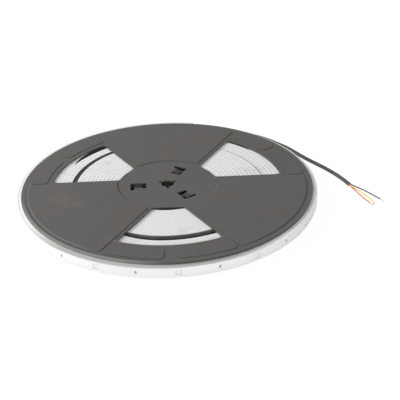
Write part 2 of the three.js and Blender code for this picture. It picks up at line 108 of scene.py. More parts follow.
class Bench:
    """The modelling steps that the sub-assemblies share."""

    @staticmethod
    def clear() -> None:
        """Leave edit mode and deselect everything."""
        if bpy.context.mode != "OBJECT":
            bpy.ops.object.mode_set(mode="OBJECT")
        bpy.ops.object.select_all(action="DESELECT")

    @classmethod
    def pick(cls, *pieces: bpy.types.Object) -> bpy.types.Object:
        """Select only these pieces, with the first one active, and return it.

        Args:
            *pieces: Objects to select.

        Returns:
            The first piece.
        """
        cls.clear()
        for piece in pieces:
            piece.select_set(True)
        bpy.context.view_layer.objects.active = pieces[0]
        return pieces[0]

    @classmethod
    def open_all(cls, piece: bpy.types.Object) -> None:
        """Open a piece in edit mode with all of it selected."""
        cls.pick(piece)
        bpy.ops.object.mode_set(mode="EDIT")
        bpy.ops.mesh.select_all(action="SELECT")

    @classmethod
    def _unmark(cls, piece: bpy.types.Object, kind: str) -> None:
        """Deselect all of a piece, ready for one kind of its elements to be marked.

        Args:
            piece: Mesh object to open.
            kind: Select mode, VERT or FACE.
        """
        cls.pick(piece)
        bpy.ops.object.mode_set(mode="EDIT")
        bpy.ops.mesh.select_mode(type=kind)
        bpy.ops.mesh.select_all(action="DESELECT")
        bpy.ops.object.mode_set(mode="OBJECT")

    @classmethod
    def select_vertices(
        cls, piece: bpy.types.Object, test: Callable[[Vector], bool]
    ) -> None:
        """Open a piece in edit mode with the vertices selected that pass a test.

        Args:
            piece: Mesh object to open.
            test: Takes a vertex's place and says whether it is selected.
        """
        cls._unmark(piece, "VERT")
        for vertex in piece.data.vertices:
            vertex.select = test(vertex.co)
        bpy.ops.object.mode_set(mode="EDIT")

    @classmethod
    def select_faces(
        cls, piece: bpy.types.Object, test: Callable[[Vector, Vector], bool]
    ) -> None:
        """Open a piece in edit mode with the faces selected that pass a test.

        Args:
            piece: Mesh object to open.
            test: Takes a face's centre and normal and says whether it is selected.
        """
        cls._unmark(piece, "FACE")
        for face in piece.data.polygons:
            face.select = test(face.center, face.normal)
        bpy.ops.object.mode_set(mode="EDIT")

    @classmethod
    def settle(cls, piece: bpy.types.Object, name: str) -> bpy.types.Object:
        """Name a piece and put its place into its mesh, so that its object is unturned.

        Args:
            piece: Mesh object to settle.
            name: Name that it gets.

        Returns:
            The same piece.
        """
        piece.name = name
        piece.data.name = name
        cls.pick(piece)
        bpy.ops.object.transform_apply(location=True, rotation=True, scale=True)
        return piece

    @classmethod
    def close(cls, piece: bpy.types.Object, merge: float = 1e-6, flat: bool = True) -> None:
        """Merge a piece's doubles and turn all its faces outward.

        Args:
            piece: Mesh object to close.
            merge: Distance under which two vertices become one.
            flat: Whether faces in one plane are joined.
        """
        cls.open_all(piece)
        bpy.ops.mesh.remove_doubles(threshold=merge)
        if flat:
            bpy.ops.mesh.dissolve_limited(angle_limit=math.radians(0.2))
        bpy.ops.mesh.normals_make_consistent(inside=False)
        bpy.ops.object.mode_set(mode="OBJECT")

    @classmethod
    def combine(
        cls, target: bpy.types.Object, tools: Sequence[bpy.types.Object], cut: Cut
    ) -> None:
        """Join solids to a target or remove them from it, and delete them.

        Args:
            target: Mesh object that is changed.
            tools: Solids that act on it.
            cut: Whether they are joined or removed.
        """
        for tool in tools:
            cls.pick(target)
            change = target.modifiers.new("combine", "BOOLEAN")
            change.operation = cut.value
            change.solver = "EXACT"
            change.object = tool
            bpy.ops.object.modifier_apply(modifier=change.name)
            bpy.data.objects.remove(tool)

    @classmethod
    def round_edges(
        cls, piece: bpy.types.Object, width: float, segments: int = 2, angle: float = 35
    ) -> None:
        """Round a piece's sharp edges.

        Args:
            piece: Mesh object to round.
            width: Width of the rounding.
            segments: Steps across it.
            angle: Smallest angle, in degrees, between two faces whose edge is rounded.
        """
        cls.pick(piece)
        change = piece.modifiers.new("round", "BEVEL")
        change.width = width
        change.segments = segments
        change.limit_method = "ANGLE"
        change.angle_limit = math.radians(angle)
        bpy.ops.object.modifier_apply(modifier=change.name)

    @classmethod
    def smooth(cls, piece: bpy.types.Object, angle: float = 32, level: bool = False) -> None:
        """Shade a piece smooth except across edges sharper than an angle.

        Args:
            piece: Mesh object to shade.
            angle: Angle in degrees.
            level: Whether the level faces stay flat.
        """
        cls.pick(piece)
        bpy.ops.object.shade_smooth_by_angle(angle=math.radians(angle))
        if level:
            for face in piece.data.polygons:
                face.use_smooth = abs(face.normal.z) < 0.999

    @classmethod
    def block(cls, name: str, size: Place, middle: Place) -> bpy.types.Object:
        """Add a block of a size round its middle, and return it.

        Args:
            name: Name of the block.
            size: Its size along X, Y and Z.
            middle: Its middle.

        Returns:
            The block.
        """
        cls.clear()
        bpy.ops.mesh.primitive_cube_add(size=1, location=middle)
        piece = bpy.context.object
        piece.scale = size
        return cls.settle(piece, name)

    @classmethod
    def plate(
        cls, name: str, outlines: Sequence[Sequence[Vector]], low: float, high: float
    ) -> bpy.types.Object:
        """Make a flat plate from its outlines, of which inner ones are holes.

        Args:
            name: Name of the plate.
            outlines: Closed outlines in the plane.
            low: Height of its lower face.
            high: Height of its upper face.

        Returns:
            The plate as a closed mesh object.
        """
        flat = bpy.data.curves.new(name, "CURVE")
        flat.dimensions = "2D"
        flat.fill_mode = "BOTH"
        flat.extrude = (high - low) / 2
        for outline in outlines:
            spline = flat.splines.new("POLY")
            spline.points.add(len(outline) - 1)
            spline.use_cyclic_u = True
            for point, place in zip(spline.points, outline):
                point.co = (place.x, place.y, 0, 1)
        piece = bpy.data.objects.new(name, flat)
        bpy.context.scene.collection.objects.link(piece)
        piece.location.z = (low + high) / 2
        cls.pick(piece)
        bpy.ops.object.convert(target="MESH")
        cls.settle(piece, name)
        cls.close(piece)
        return piece

    @classmethod
    def rod(
        cls, name: str, places: Sequence[Place], diameter: float, sides: int = 16
    ) -> bpy.types.Object:
        """Make a round rod or cord along points, as a curve of one open spline.

        Args:
            name: Name of the rod.
            places: Points that it passes through.
            diameter: Its diameter.
            sides: Sides of its section, a multiple of 4.

        Returns:
            The curve object.
        """
        line = bpy.data.curves.new(name, "CURVE")
        line.dimensions = "3D"
        line.resolution_u = 8
        line.bevel_depth = diameter / 2
        line.bevel_resolution = sides // 4 - 1
        line.use_fill_caps = True
        spline = line.splines.new("BEZIER")
        spline.bezier_points.add(len(places) - 1)
        for knot, place in zip(spline.bezier_points, places):
            knot.co = place
            knot.handle_left_type = "AUTO"
            knot.handle_right_type = "AUTO"
        piece = bpy.data.objects.new(name, line)
        bpy.context.scene.collection.objects.link(piece)
        return piece

    @classmethod
    def to_mesh(cls, piece: bpy.types.Object) -> bpy.types.Object:
        """Turn a curve piece into a closed mesh and return it.

        Args:
            piece: Curve object.

        Returns:
            The same piece as a mesh.
        """
        cls.pick(piece)
        bpy.ops.object.convert(target="MESH")
        cls.close(piece, flat=False)
        return piece

    @classmethod
    def join(cls, name: str, parts: Sequence[bpy.types.Object]) -> bpy.types.Object:
        """Join parts into one object with one name and return it.

        Args:
            name: Name of the whole.
            parts: Mesh objects to join.

        Returns:
            The whole.
        """
        whole = cls.pick(*parts)
        if len(parts) > 1:
            bpy.ops.object.join()
        whole.name = name
        whole.data.name = name
        return whole


def dress(
    piece: bpy.types.Object,
    slot: str,
    nodes: Sequence[str],
    *materials: bpy.types.Material,
) -> bpy.types.Object:
    """Give a finished piece its materials and its body, and hide the frame's nodes that it
    stands for.

    Args:
        piece: Finished object.
        slot: Name of the record's material slot, which is only logged.
        nodes: Nodes of the frame that it replaces.
        *materials: Its materials, in the order of its material indices.

    Returns:
        The same piece.
    """
    if materials:
        piece.data.materials.clear()
        for material in materials:
            piece.data.materials.append(material)
    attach(piece, BODY)
    if nodes:
        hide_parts(*nodes)
    LOG.info("%s: %s", piece.name, slot)
    return piece


# Shader tools


class Socket:
    """A shader socket that takes part in sums like a number."""

    def __init__(self, shade: "Shade", link: bpy.types.NodeSocket) -> None:
        """Keep the material under construction and the socket's link."""
        self.shade = shade
        self.link = link

    def apply(self, operation: str, *others: "Socket | float") -> "Socket":
        """Return a Math node's result for an operation on self and other values."""
        values = dict(enumerate((self, *others)))
        return self.shade.node("ShaderNodeMath", {"operation": operation}, values)

    def __add__(self, other: "Socket | float") -> "Socket":
        """Return self + other."""
        return self.apply("ADD", other)

    def __radd__(self, other: float) -> "Socket":
        """Return other + self."""
        return self + other

    def __sub__(self, other: "Socket | float") -> "Socket":
        """Return self - other."""
        return self.apply("SUBTRACT", other)

    def __mul__(self, other: "Socket | float") -> "Socket":
        """Return self * other."""
        return self.apply("MULTIPLY", other)

    def __truediv__(self, other: "Socket | float") -> "Socket":
        """Return self / other."""
        return self.apply("DIVIDE", other)

    def __abs__(self) -> "Socket":
        """Return self without its sign."""
        return self.apply("ABSOLUTE")

    def least(self, other: "Socket | float") -> "Socket":
        """Return the lesser of self and other."""
        return self.apply("MINIMUM", other)

    def most(self, other: "Socket | float") -> "Socket":
        """Return the greater of self and other."""
        return self.apply("MAXIMUM", other)

    def fade(self, full: float, none: float) -> "Socket":
        """Ease from 1 where self is full to 0 where it is none.

        Args:
            full: Value with the result 1.
            none: Value with the result 0.

        Returns:
            The eased share.
        """
        low, high = (full, none) if full < none else (none, full)
        ends = (1.0, 0.0) if full < none else (0.0, 1.0)
        return self.shade.node(
            "ShaderNodeMapRange",
            {"interpolation_type": "SMOOTHSTEP"},
            {0: self, 1: low, 2: high, 3: ends[0], 4: ends[1]},
        )


Colour = tuple[float, float, float]
Input = Socket | float | Colour


class Shade:
    """One material under construction."""

    def __init__(self, name: str) -> None:
        """Start an empty material.

        Args:
            name: Name of the material.
        """
        self.material = bpy.data.materials.new(name)
        self.material.use_nodes = True
        self.tree = self.material.node_tree
        self.tree.nodes.clear()
        self.place = self.node("ShaderNodeTexCoord", {}, {}, "Object")
        self.x = self.node("ShaderNodeSeparateXYZ", {}, {0: self.place}, "X")
        self.y = self.beside(self.x, "Y")
        self.z = self.beside(self.x, "Z")

    def beside(self, socket: Socket, output: str) -> Socket:
        """Return another output of the node that a socket belongs to."""
        return Socket(self, socket.link.node.outputs[output])

    def node(
        self,
        kind: str,
        settings: dict[str, object],
        inputs: dict[int | str, Input],
        output: int | str = 0,
    ) -> Socket:
        """Add a node.

        Args:
            kind: Type of the node.
            settings: Its settings, which are set first.
            inputs: Values or links of its sockets, by name or index.
            output: Socket that is returned.

        Returns:
            The chosen output.
        """
        made = self.tree.nodes.new(kind)
        for key, value in settings.items():
            setattr(made, key, value)
        for key, value in inputs.items():
            if isinstance(value, Socket):
                self.tree.links.new(value.link, made.inputs[key])
            elif isinstance(value, tuple) and len(made.inputs[key].default_value) == 4:
                made.inputs[key].default_value = (*value, 1.0)
            else:
                made.inputs[key].default_value = value
        return Socket(self, made.outputs[output])

    def noise(self, scale: float, detail: float, place: Socket | None = None) -> Socket:
        """Return a noise from 0 to 1.

        Args:
            scale: Features in a metre.
            detail: Finer layers that are added.
            place: Coordinates that it reads, or the object's own.

        Returns:
            The noise's value.
        """
        inputs = {"Vector": place or self.place, "Scale": scale, "Detail": detail}
        return self.node("ShaderNodeTexNoise", {}, inputs, "Fac")

    def vector(self, x: Input, y: Input, z: Input) -> Socket:
        """Return a vector of three values."""
        return self.node("ShaderNodeCombineXYZ", {}, {0: x, 1: y, 2: z})

    def mix(self, share: Input, first: Input, second: Input) -> Socket:
        """Return a colour between two colours.

        Args:
            share: 0 for the first colour and 1 for the second.
            first: First colour.
            second: Second colour.

        Returns:
            The mixed colour.
        """
        inputs = {0: share, 6: first, 7: second}
        return self.node("ShaderNodeMix", {"data_type": "RGBA"}, inputs, 2)

    def bump(self, height: Socket, depth: float, under: Socket | None = None) -> Socket:
        """Return a normal from a height.

        Args:
            height: Height from 0 to 1.
            depth: Depth of 1, in metres.
            under: Normal that it is laid over.

        Returns:
            The normal.
        """
        inputs = {"Height": height, "Strength": 1.0, "Distance": depth}
        if under is not None:
            inputs["Normal"] = under
        return self.node("ShaderNodeBump", {}, inputs)

    def radius(self, x: float = 0.0, y: float = 0.0) -> Socket:
        """Return the plane distance from a point."""
        across = self.x - x
        along = self.y - y
        return (across * across + along * along).apply("SQRT")

    def turn(self) -> Socket:
        """Return the angle round the axis, in radians."""
        return self.y.apply("ARCTAN2", self.x)

    def line(self, start: Point, end: Point, width: float) -> Socket:
        """Return a soft line on the plane, 1 on it and 0 away from it.

        Args:
            start: First end.
            end: Second end.
            width: Half width.

        Returns:
            The line's strength.
        """
        reach = Vector(end) - Vector(start)
        way = reach.normalized()
        middle = (Vector(start) + Vector(end)) / 2
        from_x, from_y = self.x - middle.x, self.y - middle.y
        across = from_y * way.x - from_x * way.y
        along = from_x * way.x + from_y * way.y
        ends = abs(along).fade(reach.length * 0.36, reach.length * 0.5)
        return abs(across).fade(width * 0.3, width) * ends

    def spot(self, x: float, y: float, wide: float, deep: float, edge: float = 0.45) -> Socket:
        """Return a soft oval on the plane, 1 inside it and 0 outside it.

        Args:
            x: Middle of the oval.
            y: Middle of the oval.
            wide: Half width along X.
            deep: Half width along Y.
            edge: Share of the half width where the fade starts.

        Returns:
            The oval's strength.
        """
        across = (self.x - x) / wide
        along = (self.y - y) / deep
        return (across * across + along * along).apply("SQRT").fade(edge, 1.0)

    def finish(self, **sockets: Input) -> bpy.types.Material:
        """Add the surface shader and return the material.

        Args:
            **sockets: Its sockets, by name with underscores for spaces.

        Returns:
            The finished material.
        """
        inputs = {key.replace("_", " "): value for key, value in sockets.items()}
        return self.close(self.node("ShaderNodeBsdfPrincipled", {}, inputs))

    def close(self, surface: Socket) -> bpy.types.Material:
        """Put a surface shader on the material's output and return the material.

        Args:
            surface: Output of the surface shader.

        Returns:
            The finished material.
        """
        output = self.tree.nodes.new("ShaderNodeOutputMaterial")
        self.tree.links.new(surface.link, output.inputs["Surface"])
        return self.material


# Finishes


@dataclass(frozen=True)
class Scratch:
    """A light scratch between two plane points."""

    start: Point
    end: Point
    width: float = 0.45 * MM
    strength: float = 0.5


@dataclass(frozen=True)
class Scuff:
    """A patch of fine crossed scratches, round a plane point and turned by an angle."""

    x: float
    y: float
    wide: float
    deep: float
    angle: float

    def strength_on(self, shade: Shade) -> Socket:
        """Return the patch's strength on the surface, from 0 to 1.

        Args:
            shade: Material under construction.

        Returns:
            The strength.
        """
        slant = math.radians(self.angle)
        across = shade.x * math.cos(slant) + shade.y * math.sin(slant)
        along = shade.y * math.cos(slant) - shade.x * math.sin(slant)
        hatch = shade.noise(1, 2, shade.vector(across * 90, along * 800, 0.0))
        crossed = shade.noise(1, 2, shade.vector(across * 800, along * 90, 1.0))
        lines = hatch.fade(0.66, 0.5).most(crossed.fade(0.68, 0.54) * 0.8)
        return shade.spot(self.x, self.y, self.wide, self.deep, 0.2) * lines * 0.4


@dataclass(frozen=True)
class PaintedRingLine:
    """A painted shade or painted highlight line along part of a circle round the axis."""

    radius: float
    middle: float
    spread: float
    strength: float
    width: float = 0.5 * MM

    def strength_on(self, shade: Shade, radius: Socket, turn: Socket) -> Socket:
        """Return the line's strength on the surface.

        Args:
            shade: Material under construction.
            radius: Distance from the axis.
            turn: Angle round the axis, in radians.

        Returns:
            The strength, from 0 to 1.
        """
        across = abs(radius - self.radius).fade(self.width * 0.3, self.width)
        beside = (turn - math.radians(self.middle)).apply("COSINE")
        full, none = (math.cos(math.radians(self.spread * share)) for share in (0.6, 1))
        return across * beside.fade(full, none) * self.strength


@dataclass(frozen=True)
class ReelPlastic:
    """Dark grey moulded plastic with a satin skin, flow clouding and handling marks, and with
    painted shade lines, painted highlight lines and a painted highlight on the rim.
    """

    name: str
    colour: Colour = (0.11, 0.108, 0.1)
    cloud: Colour = (0.131, 0.128, 0.119)
    warm: Colour = (0.134, 0.115, 0.103)
    # Colour of worn spots, scratches and scuffs, and of the painted highlight lines.
    bare: Colour = (0.27, 0.268, 0.255)
    # Painted highlight colour for the rim's outer slope.
    rim_highlight: Colour = (0.3, 0.296, 0.28)
    # Colour of pits and ejector marks, and of the painted shade.
    dark: Colour = (0.02, 0.02, 0.019)
    band_radius: float = 141.7 * MM
    # Angle in degrees where the painted rim highlight is strongest, on the left side.
    rim_highlight_middle: float = 228
    wall_radius: float = 119 * MM
    # Height below which the walls of the windows and slots get painted shade.
    wall_shade_below: float | None = None
    ejector_radius: float = 1.25 * MM
    scratches: tuple[Scratch, ...] = ()
    painted_shade_rings: tuple[PaintedRingLine, ...] = ()
    painted_highlight_rings: tuple[PaintedRingLine, ...] = ()
    scuffs: tuple[Scuff, ...] = ()
    ejector_marks: tuple[Point, ...] = ()

    def _dark_marks_and_shade(self, shade: Shade, radius: Socket, turn: Socket, skin: Socket) -> Socket:
        """Return how dark the skin is: pits and ejector marks, painted shade lines and painted
        shade on the window walls.

        Args:
            shade: Material under construction.
            radius: Distance from the axis.
            turn: Angle round the axis, in radians.
            skin: Noise of the skin.

        Returns:
            The strength of the dark colour.
        """
        dark_marks_and_shade = skin.fade(0.2, 0.1) * 0.1
        # Painted shade lines along edges and creases that face away from the light.
        for ring in self.painted_shade_rings:
            dark_marks_and_shade = dark_marks_and_shade.most(ring.strength_on(shade, radius, turn))
        # Painted shade on the window and slot walls below the face, for the shade in these
        # recesses.
        if self.wall_shade_below is not None:
            wall = shade.z.fade(self.wall_shade_below - 0.4 * MM, self.wall_shade_below)
            inside = radius.fade(self.wall_radius, self.wall_radius + 2 * MM)
            dark_marks_and_shade = dark_marks_and_shade.most(wall * inside * 0.6)
        for x, y in self.ejector_marks:
            edge = abs(shade.radius(x, y) - self.ejector_radius)
            dark_marks_and_shade = dark_marks_and_shade.most(edge.fade(0.12 * MM, 0.4 * MM) * 0.4)
        return dark_marks_and_shade.least(1.0)

    def _marks(self, shade: Shade, radius: Socket, turn: Socket, skin: Socket) -> Socket:
        """Return how light the skin is: worn spots, painted highlight lines, scratches and
        scuffs.

        Args:
            shade: Material under construction.
            radius: Distance from the axis.
            turn: Angle round the axis, in radians.
            skin: Noise of the skin.

        Returns:
            The strength of the bare colour.
        """
        marks = skin.fade(0.82, 0.7) * 0.12
        # Painted highlight lines along edges that face the light.
        for ring in self.painted_highlight_rings:
            marks = marks.most(ring.strength_on(shade, radius, turn))
        for scratch in self.scratches:
            line = shade.line(scratch.start, scratch.end, scratch.width)
            broken = shade.noise(650, 1).fade(0.62, 0.36) * scratch.strength
            marks = marks.most(line * broken)
        for scuff in self.scuffs:
            marks = marks.most(scuff.strength_on(shade))
        return marks.least(1.0)

    def make(self) -> bpy.types.Material:
        """Return the material."""
        shade = Shade(self.name)
        radius = shade.radius()
        turn = shade.turn()
        streaks = shade.noise(1, 3, shade.vector(radius * 26, turn * 9, shade.z * 40))
        clouds = shade.noise(23, 4)
        grain = shade.noise(2600, 2)
        skin = shade.noise(420, 3)
        tone = clouds * 0.6 + streaks * 0.5 + skin * 0.12 - 0.1
        outside = radius.fade(self.band_radius + 0.5 * MM, self.band_radius + 0.1 * MM)
        left = (turn - math.radians(self.rim_highlight_middle)).apply("COSINE").fade(0.94, 0.74)
        tint_place = shade.vector(shade.x + 3.0, shade.y, shade.z)
        tint = shade.noise(38, 2, tint_place).fade(0.7, 0.52)
        dark_marks_and_shade = self._dark_marks_and_shade(shade, radius, turn, skin)
        marks = self._marks(shade, radius, turn, skin)
        colour = shade.mix(tone, self.colour, self.cloud)
        colour = shade.mix(tint * 0.45, colour, self.warm)
        # Painted highlight on the rim's outer slope, strongest on the left side where light
        # falls on it.
        colour = shade.mix(outside * (left * 0.8 + 0.06), colour, self.rim_highlight)
        # Worn spots, scratches and scuffs, with the painted highlight lines.
        colour = shade.mix(marks, colour, self.bare)
        # Pits and ejector marks, with the painted shade lines and the painted wall shade.
        colour = shade.mix(dark_marks_and_shade, colour, self.dark)
        rough = skin * 0.12 + marks * 0.15 - clouds * 0.06 + 0.46
        normal = shade.bump(grain * 0.6 + skin * 0.4, 0.05 * MM)
        normal = shade.bump(clouds, 0.35 * MM, normal)
        return shade.finish(
            Base_Color=colour, Roughness=rough, Normal=normal, Specular_IOR_Level=0.42
        )


@dataclass(frozen=True)
class Silicone:
    """Milky silicone sleeve with the white board seen through it, and with painted shade,
    painted glare and painted highlights on its tops.
    """

    name: str
    board: Colour = (0.89, 0.89, 0.91)
    clear: Colour = (0.8, 0.8, 0.82)
    # Painted shade colour for patches and spots on the tops.
    shadow: Colour = (0.5, 0.505, 0.51)
    # Painted shadow colour for the tops at the front beyond the flange.
    ledge: Colour = (0.43, 0.435, 0.435)
    # Painted shadow colour for a gap between the turns.
    gap_shade_black: Colour = (0.03, 0.028, 0.028)
    # Painted highlight colour for the tops beyond the flange.
    white: Colour = (0.97, 0.97, 0.97)
    # Painted glare colour for spots on the tops.
    glare: Colour = (0.95, 0.94, 0.93)
    ledge_radius: float = 144.2 * MM
    ledge_middle: float = -100.27
    painted_glare_spots: tuple[Oval, ...] = ()
    painted_shade_spots: tuple[Oval, ...] = ()
    painted_shade_rings: tuple[PaintedRingLine, ...] = ()

    def make(self) -> bpy.types.Material:
        """Return the material."""
        shade = Shade(self.name)
        radius = shade.radius()
        turn = shade.turn()
        along = turn * 0.15
        side = abs(shade.z - MIDDLE_Z).fade(3.9 * MM, 4.7 * MM)
        brushed = shade.noise(1, 3, shade.vector(along * 60, radius * 420, shade.z * 700))
        clouds = shade.noise(55, 3)
        top = shade.z.fade(STRIP_TOP_Z - 0.05 * MM, STRIP_TOP_Z - 0.6 * MM)
        milky = shade.mix(clouds * 0.5 + brushed * 0.5, self.clear, self.board)
        colour = shade.mix(side * 0.8, milky, self.board)
        # Painted shade in soft patches on the tops.
        shade_patches = shade.noise(1, 2, shade.vector(turn * 5.5, radius * 34, 0.3)).fade(0.72, 0.56)
        colour = shade.mix(shade_patches * top * 0.3, colour, self.shadow)
        # Painted light on the tops beyond the flange: a painted highlight all round and a
        # painted shadow of the flange at the front.
        rim = radius.fade(self.ledge_radius, self.ledge_radius - 1 * MM)
        front = abs(turn - math.radians(self.ledge_middle)).fade(0.5, 1.0)
        colour = shade.mix(rim * top, colour, self.white)
        colour = shade.mix(rim * top * front * 0.8, colour, self.ledge)
        # Painted glare spots on the tops.
        for x, y, wide, deep in self.painted_glare_spots:
            colour = shade.mix(shade.spot(x, y, wide, deep) * top, colour, self.glare)
        # Painted shade spots on the tops.
        for x, y, wide, deep in self.painted_shade_spots:
            colour = shade.mix(shade.spot(x, y, wide, deep) * top * 0.7, colour, self.shadow)
        # Painted black lines on the tops, for shaded gaps between the outer turns.
        for ring in self.painted_shade_rings:
            colour = shade.mix(ring.strength_on(shade, radius, turn) * top, colour, self.gap_shade_black)
        rough = brushed * 0.18 + 0.3
        normal = shade.bump(brushed * 0.7 + shade.noise(1500, 1) * 0.3, 0.06 * MM)
        return shade.finish(
            Base_Color=colour, Roughness=rough, Normal=normal, Specular_IOR_Level=0.45
        )


@dataclass(frozen=True)
class PaintedBackShade:
    """Painted shade: a near-black colour for the strip's back where it faces a gap, for the
    shade in the gaps between turns.
    """

    name: str
    colour: Colour = (0.02, 0.018, 0.019)
    worn: Colour = (0.034, 0.031, 0.032)

    def make(self) -> bpy.types.Material:
        """Return the material."""
        shade = Shade(self.name)
        grain = shade.noise(700, 3)
        colour = shade.mix(grain, self.colour, self.worn)
        normal = shade.bump(grain, 0.03 * MM)
        return shade.finish(Base_Color=colour, Roughness=0.6, Normal=normal)


@dataclass(frozen=True)
class CableJacket:
    """Dark extruded cable jacket with a dull skin and a little dust."""

    name: str
    colour: Colour = (0.042, 0.043, 0.037)
    dust: Colour = (0.1, 0.098, 0.086)

    def make(self) -> bpy.types.Material:
        """Return the material."""
        shade = Shade(self.name)
        skin = shade.noise(900, 3)
        clouds = shade.noise(130, 3)
        colour = shade.mix(clouds.fade(0.7, 0.42) * 0.6 + skin * 0.15, self.colour, self.dust)
        normal = shade.bump(skin, 0.06 * MM)
        return shade.finish(
            Base_Color=colour,
            Roughness=0.42 + clouds * 0.16,
            Normal=normal,
            Specular_IOR_Level=0.45,
        )


@dataclass(frozen=True)
class CoreInsulation:
    """Thin coloured insulation of one core."""

    name: str
    colour: Colour
    deep: Colour

    def make(self) -> bpy.types.Material:
        """Return the material."""
        shade = Shade(self.name)
        skin = shade.noise(1400, 2)
        clouds = shade.noise(260, 2)
        colour = shade.mix(clouds.fade(0.62, 0.38), self.colour, self.deep)
        return shade.finish(
            Base_Color=colour,
            Roughness=0.3 + skin * 0.15,
            Normal=shade.bump(skin, 0.02 * MM),
        )


@dataclass(frozen=True)
class TinnedWire:
    """Copper strands under a thin coat of solder."""

    name: str
    solder: Colour = (0.72, 0.72, 0.71)
    copper: Colour = (0.66, 0.47, 0.33)

    def make(self) -> bpy.types.Material:
        """Return the material."""
        shade = Shade(self.name)
        skin = shade.noise(3000, 2)
        bare = shade.noise(900, 2).fade(0.74, 0.6)
        colour = shade.mix(bare * 0.7, self.solder, self.copper)
        return shade.finish(
            Base_Color=colour,
            Metallic=0.9,
            Roughness=0.26 + skin * 0.2,
            Normal=shade.bump(skin, 0.02 * MM),
        )


@dataclass(frozen=True)
class Ceramic:
    """A small part's moulded, glazed or coated surface."""

    name: str
    colour: Colour
    speck: Colour
    rough: float = 0.3
    metal: float = 0.0

    def make(self) -> bpy.types.Material:
        """Return the material."""
        shade = Shade(self.name)
        grain = shade.noise(2200, 3)
        colour = shade.mix(grain.fade(0.7, 0.4), self.colour, self.speck)
        return shade.finish(
            Base_Color=colour,
            Metallic=self.metal,
            Roughness=self.rough + grain * 0.12,
            Normal=shade.bump(grain, 0.015 * MM),
        )


# Reel


